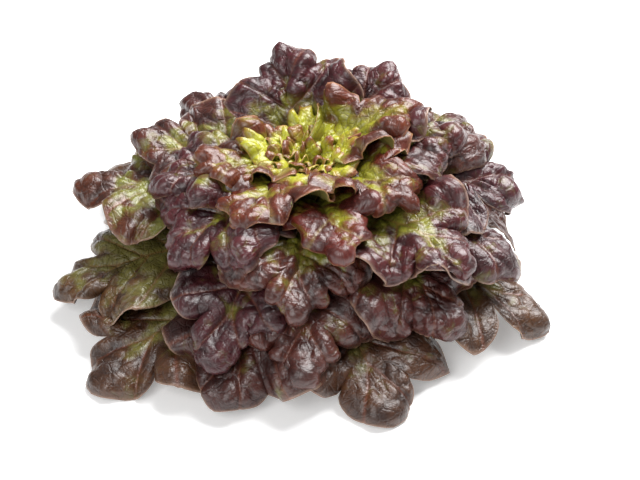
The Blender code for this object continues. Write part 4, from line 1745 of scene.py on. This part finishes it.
@dataclass(frozen=True)
class StemFinish:
    """The stem's pale flesh, its darker ring of vessels and its browned cut."""

    flesh: str = "d9d6b4"
    vessels: str = "b6b487"
    browned: str = "a77b52"
    vessel_radius: float = 0.0105
    vessel_half_width: float = 0.0016
    vessels_show: float = 0.8
    wobble: float = 0.004
    wobble_scale: float = 220.0
    edge_radii: tuple[float, float] = (0.0135, 0.0165)
    edge_stain: float = 0.7
    stain: float = 0.5
    stain_scale: float = 130.0
    stain_heights: tuple[float, float] = (0.0004, 0.0030)
    roughness: float = 0.43
    uneven_roughness: float = 0.25
    fibre_scale: float = 500.0
    grain_scale: float = 900.0
    grain_detail: float = 4.0
    relief: float = 0.0005
    relief_shows: float = 0.5
    subsurface: float = 0.2
    subsurface_scale: float = 0.002

    def material(self) -> bpy.types.Material:
        """Makes the finish from the distance to the stem's centre line.

        Returns:
            The material.
        """
        made, nodes, shader = start_material("stem")
        place = nodes.add("ShaderNodeTexCoord").outputs["Object"]
        parts = nodes.add("ShaderNodeSeparateXYZ")
        nodes.join(place, parts.inputs[0])
        squares = [nodes.math("POWER", parts.outputs[k], 2.0) for k in range(2)]
        wobble = nodes.math("SUBTRACT", nodes.noise(place, self.wobble_scale), 0.5)
        radius = nodes.math("SQRT", nodes.total(*squares))
        radius = nodes.total(radius, nodes.times(wobble, self.wobble))
        from_vessels = nodes.math("ABSOLUTE", nodes.math("SUBTRACT", radius, self.vessel_radius))
        outside = nodes.ramp(from_vessels, 0.0, self.vessel_half_width)
        vessels = nodes.times(nodes.math("SUBTRACT", 1.0, outside), self.vessels_show)
        base = nodes.mix(vessels, linear(self.flesh), linear(self.vessels))
        stain = nodes.total(
            nodes.times(nodes.ramp(radius, *self.edge_radii), self.edge_stain),
            nodes.times(nodes.noise(place, self.stain_scale), self.stain),
        )
        above = nodes.ramp(parts.outputs[2], *self.stain_heights)
        stain = nodes.times(stain, nodes.math("SUBTRACT", 1.0, above))
        nodes.join(nodes.mix(stain, base, linear(self.browned)), shader.inputs["Base Color"])
        fibres = nodes.times(nodes.noise(place, self.fibre_scale), self.uneven_roughness)
        nodes.join(nodes.total(fibres, self.roughness), shader.inputs["Roughness"])
        shader.inputs["Subsurface Weight"].default_value = self.subsurface
        shader.inputs["Subsurface Scale"].default_value = self.subsurface_scale
        grain = nodes.noise(place, self.grain_scale, self.grain_detail)
        nodes.join(nodes.bump(grain, self.relief_shows, self.relief), shader.inputs["Normal"])
        return made


@dataclass
class Stem:
    """The stump that carries the leaves, with its flat cut face."""

    finish: StemFinish = StemFinish()
    sides: int = 96
    rings: int = 40
    crowding: float = 1.3
    ribbing: float = 0.00035
    ribs: int = 13
    rib_twist: float = 60.0
    ribs_grow: tuple[float, float] = (0.001, 0.006)
    cut_edge: float = 0.0012

    def points(self) -> np.ndarray:
        """Turns the stem's outline and ribs it.

        Returns:
            Its points, a row for each ring from the cut face up.
        """
        rise = np.linspace(0, 1, self.rings) ** self.crowding
        above = self.cut_edge + (STEM_TOP_HEIGHT - self.cut_edge) * rise
        heights = np.concatenate([[0.0], above])[:, None]
        radii = np.interp(heights, CORE_HEIGHTS, CORE_RADII)
        radii[0] = CUT_RADIUS - self.cut_edge
        angle = 2 * math.pi * np.arange(self.sides) / self.sides
        groove = self.ribbing * np.cos(self.ribs * angle + self.rib_twist * heights)
        around = radii + groove * smooth_step(*self.ribs_grow, heights) - self.ribbing
        flat = np.stack([around * np.cos(angle), around * np.sin(angle)], axis=2)
        return np.concatenate([flat, np.broadcast_to(heights, around.shape)[..., None]], axis=2)

    def build(self) -> None:
        """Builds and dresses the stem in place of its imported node."""
        points, sides = self.points(), self.sides
        top = (len(points) - 1) * sides
        faces = []
        for low in range(0, top, sides):
            for k in range(sides):
                a, b = low + k, low + (k + 1) % sides
                faces.append((a, b, b + sides, a + sides))
        cut_face = len(faces)
        faces.append(tuple(range(sides - 1, -1, -1)))
        faces.append(tuple(range(top, top + sides)))
        mesh = bpy.data.meshes.new("dressed_stem")
        mesh.from_pydata(points.reshape(-1, 3).tolist(), [], faces)
        mesh.shade_smooth()
        mesh.polygons[cut_face].use_smooth = False
        put_in_place(show("dressed_stem", mesh), "stem", self.finish.material())


@dataclass(frozen=True)
class Lamp:
    """A soft square light: where it hangs, how long its side is and its power in watts."""

    name: str
    place: tuple[float, float, float]
    size: float
    power: float


@dataclass
class Studio:
    """The pale floor, the soft lights and the camera at the photograph's angle."""

    lamps: tuple[Lamp, ...] = (
        Lamp("key", (0.50, 0.60, 1.25), 1.2, 56.0),
        Lamp("fill", (-0.55, -1.00, 0.95), 0.8, 11.0),
    )
    white: tuple[float, float, float, float] = (1.0, 1.0, 1.0, 1.0)
    floor_half: float = 3.0
    floor_shade: float = 0.92
    floor_roughness: float = 0.8
    floor_glow: float = 0.28
    sky_strength: float = 0.22
    distance: float = 1.6
    focal: float = 147.7
    sensor: float = 36.0
    elevation: float = 40.0
    aim: tuple[float, float, float] = (0.0079, -0.034, 0.050)

    def build(self) -> None:
        """Makes the floor, the lights and the camera."""
        self.floor()
        self.sky()
        for lamp in self.lamps:
            self.hang(lamp)
        bpy.context.scene.view_settings.view_transform = "Standard"
        self.camera()

    def floor(self) -> None:
        """Lays the floor."""
        s = self.floor_half
        mesh = bpy.data.meshes.new("floor")
        mesh.from_pydata([(-s, -s, 0), (s, -s, 0), (s, s, 0), (-s, s, 0)], [], [(0, 1, 2, 3)])
        made, _, shader = start_material("floor")
        shader.inputs["Base Color"].default_value = (self.floor_shade,) * 3 + (1.0,)
        shader.inputs["Roughness"].default_value = self.floor_roughness
        shader.inputs["Emission Color"].default_value = self.white
        shader.inputs["Emission Strength"].default_value = self.floor_glow
        mesh.materials.append(made)
        floor = show("floor", mesh)

    def sky(self) -> None:
        """Lights the scene from all round."""
        world = bpy.data.worlds.new("studio")
        bpy.context.scene.world = world
        world.use_nodes = True
        background = world.node_tree.nodes["Background"]
        background.inputs["Color"].default_value = self.white
        background.inputs["Strength"].default_value = self.sky_strength

    def hang(self, lamp: Lamp) -> None:
        """Hangs a light that faces the head.

        Args:
            lamp: the light.
        """
        data = bpy.data.lights.new(lamp.name, "AREA")
        data.size = lamp.size
        data.energy = lamp.power
        made = bpy.data.objects.new(lamp.name, data)
        made.location = lamp.place
        facing = Vector(self.aim) - Vector(lamp.place)
        made.rotation_euler = facing.to_track_quat("-Z", "Y").to_euler()
        bpy.context.scene.collection.objects.link(made)

    def camera(self) -> None:
        """Sets the camera where the photograph was taken from."""
        data = bpy.data.cameras.new("camera")
        data.lens = self.focal
        data.sensor_width = self.sensor
        camera = bpy.data.objects.new("camera", data)
        lift = math.radians(self.elevation)
        back = Vector((0.0, -math.cos(lift), math.sin(lift)))
        camera.location = Vector(self.aim) + self.distance * back
        camera.rotation_euler = (-back).to_track_quat("-Z", "Y").to_euler()
        bpy.context.scene.collection.objects.link(camera)
        bpy.context.scene.camera = camera


def main() -> None:
    """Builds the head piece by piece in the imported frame, and the studio round it."""
    logging.basicConfig(level=logging.INFO, format="%(name)s: %(message)s")
    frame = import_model()
    groups = SharedGroups()
    Studio().build()
    Stem().build()
    LargeLeaves(frame, groups).build()
    Heart(groups).build()


if __name__ == "__main__":
    main()
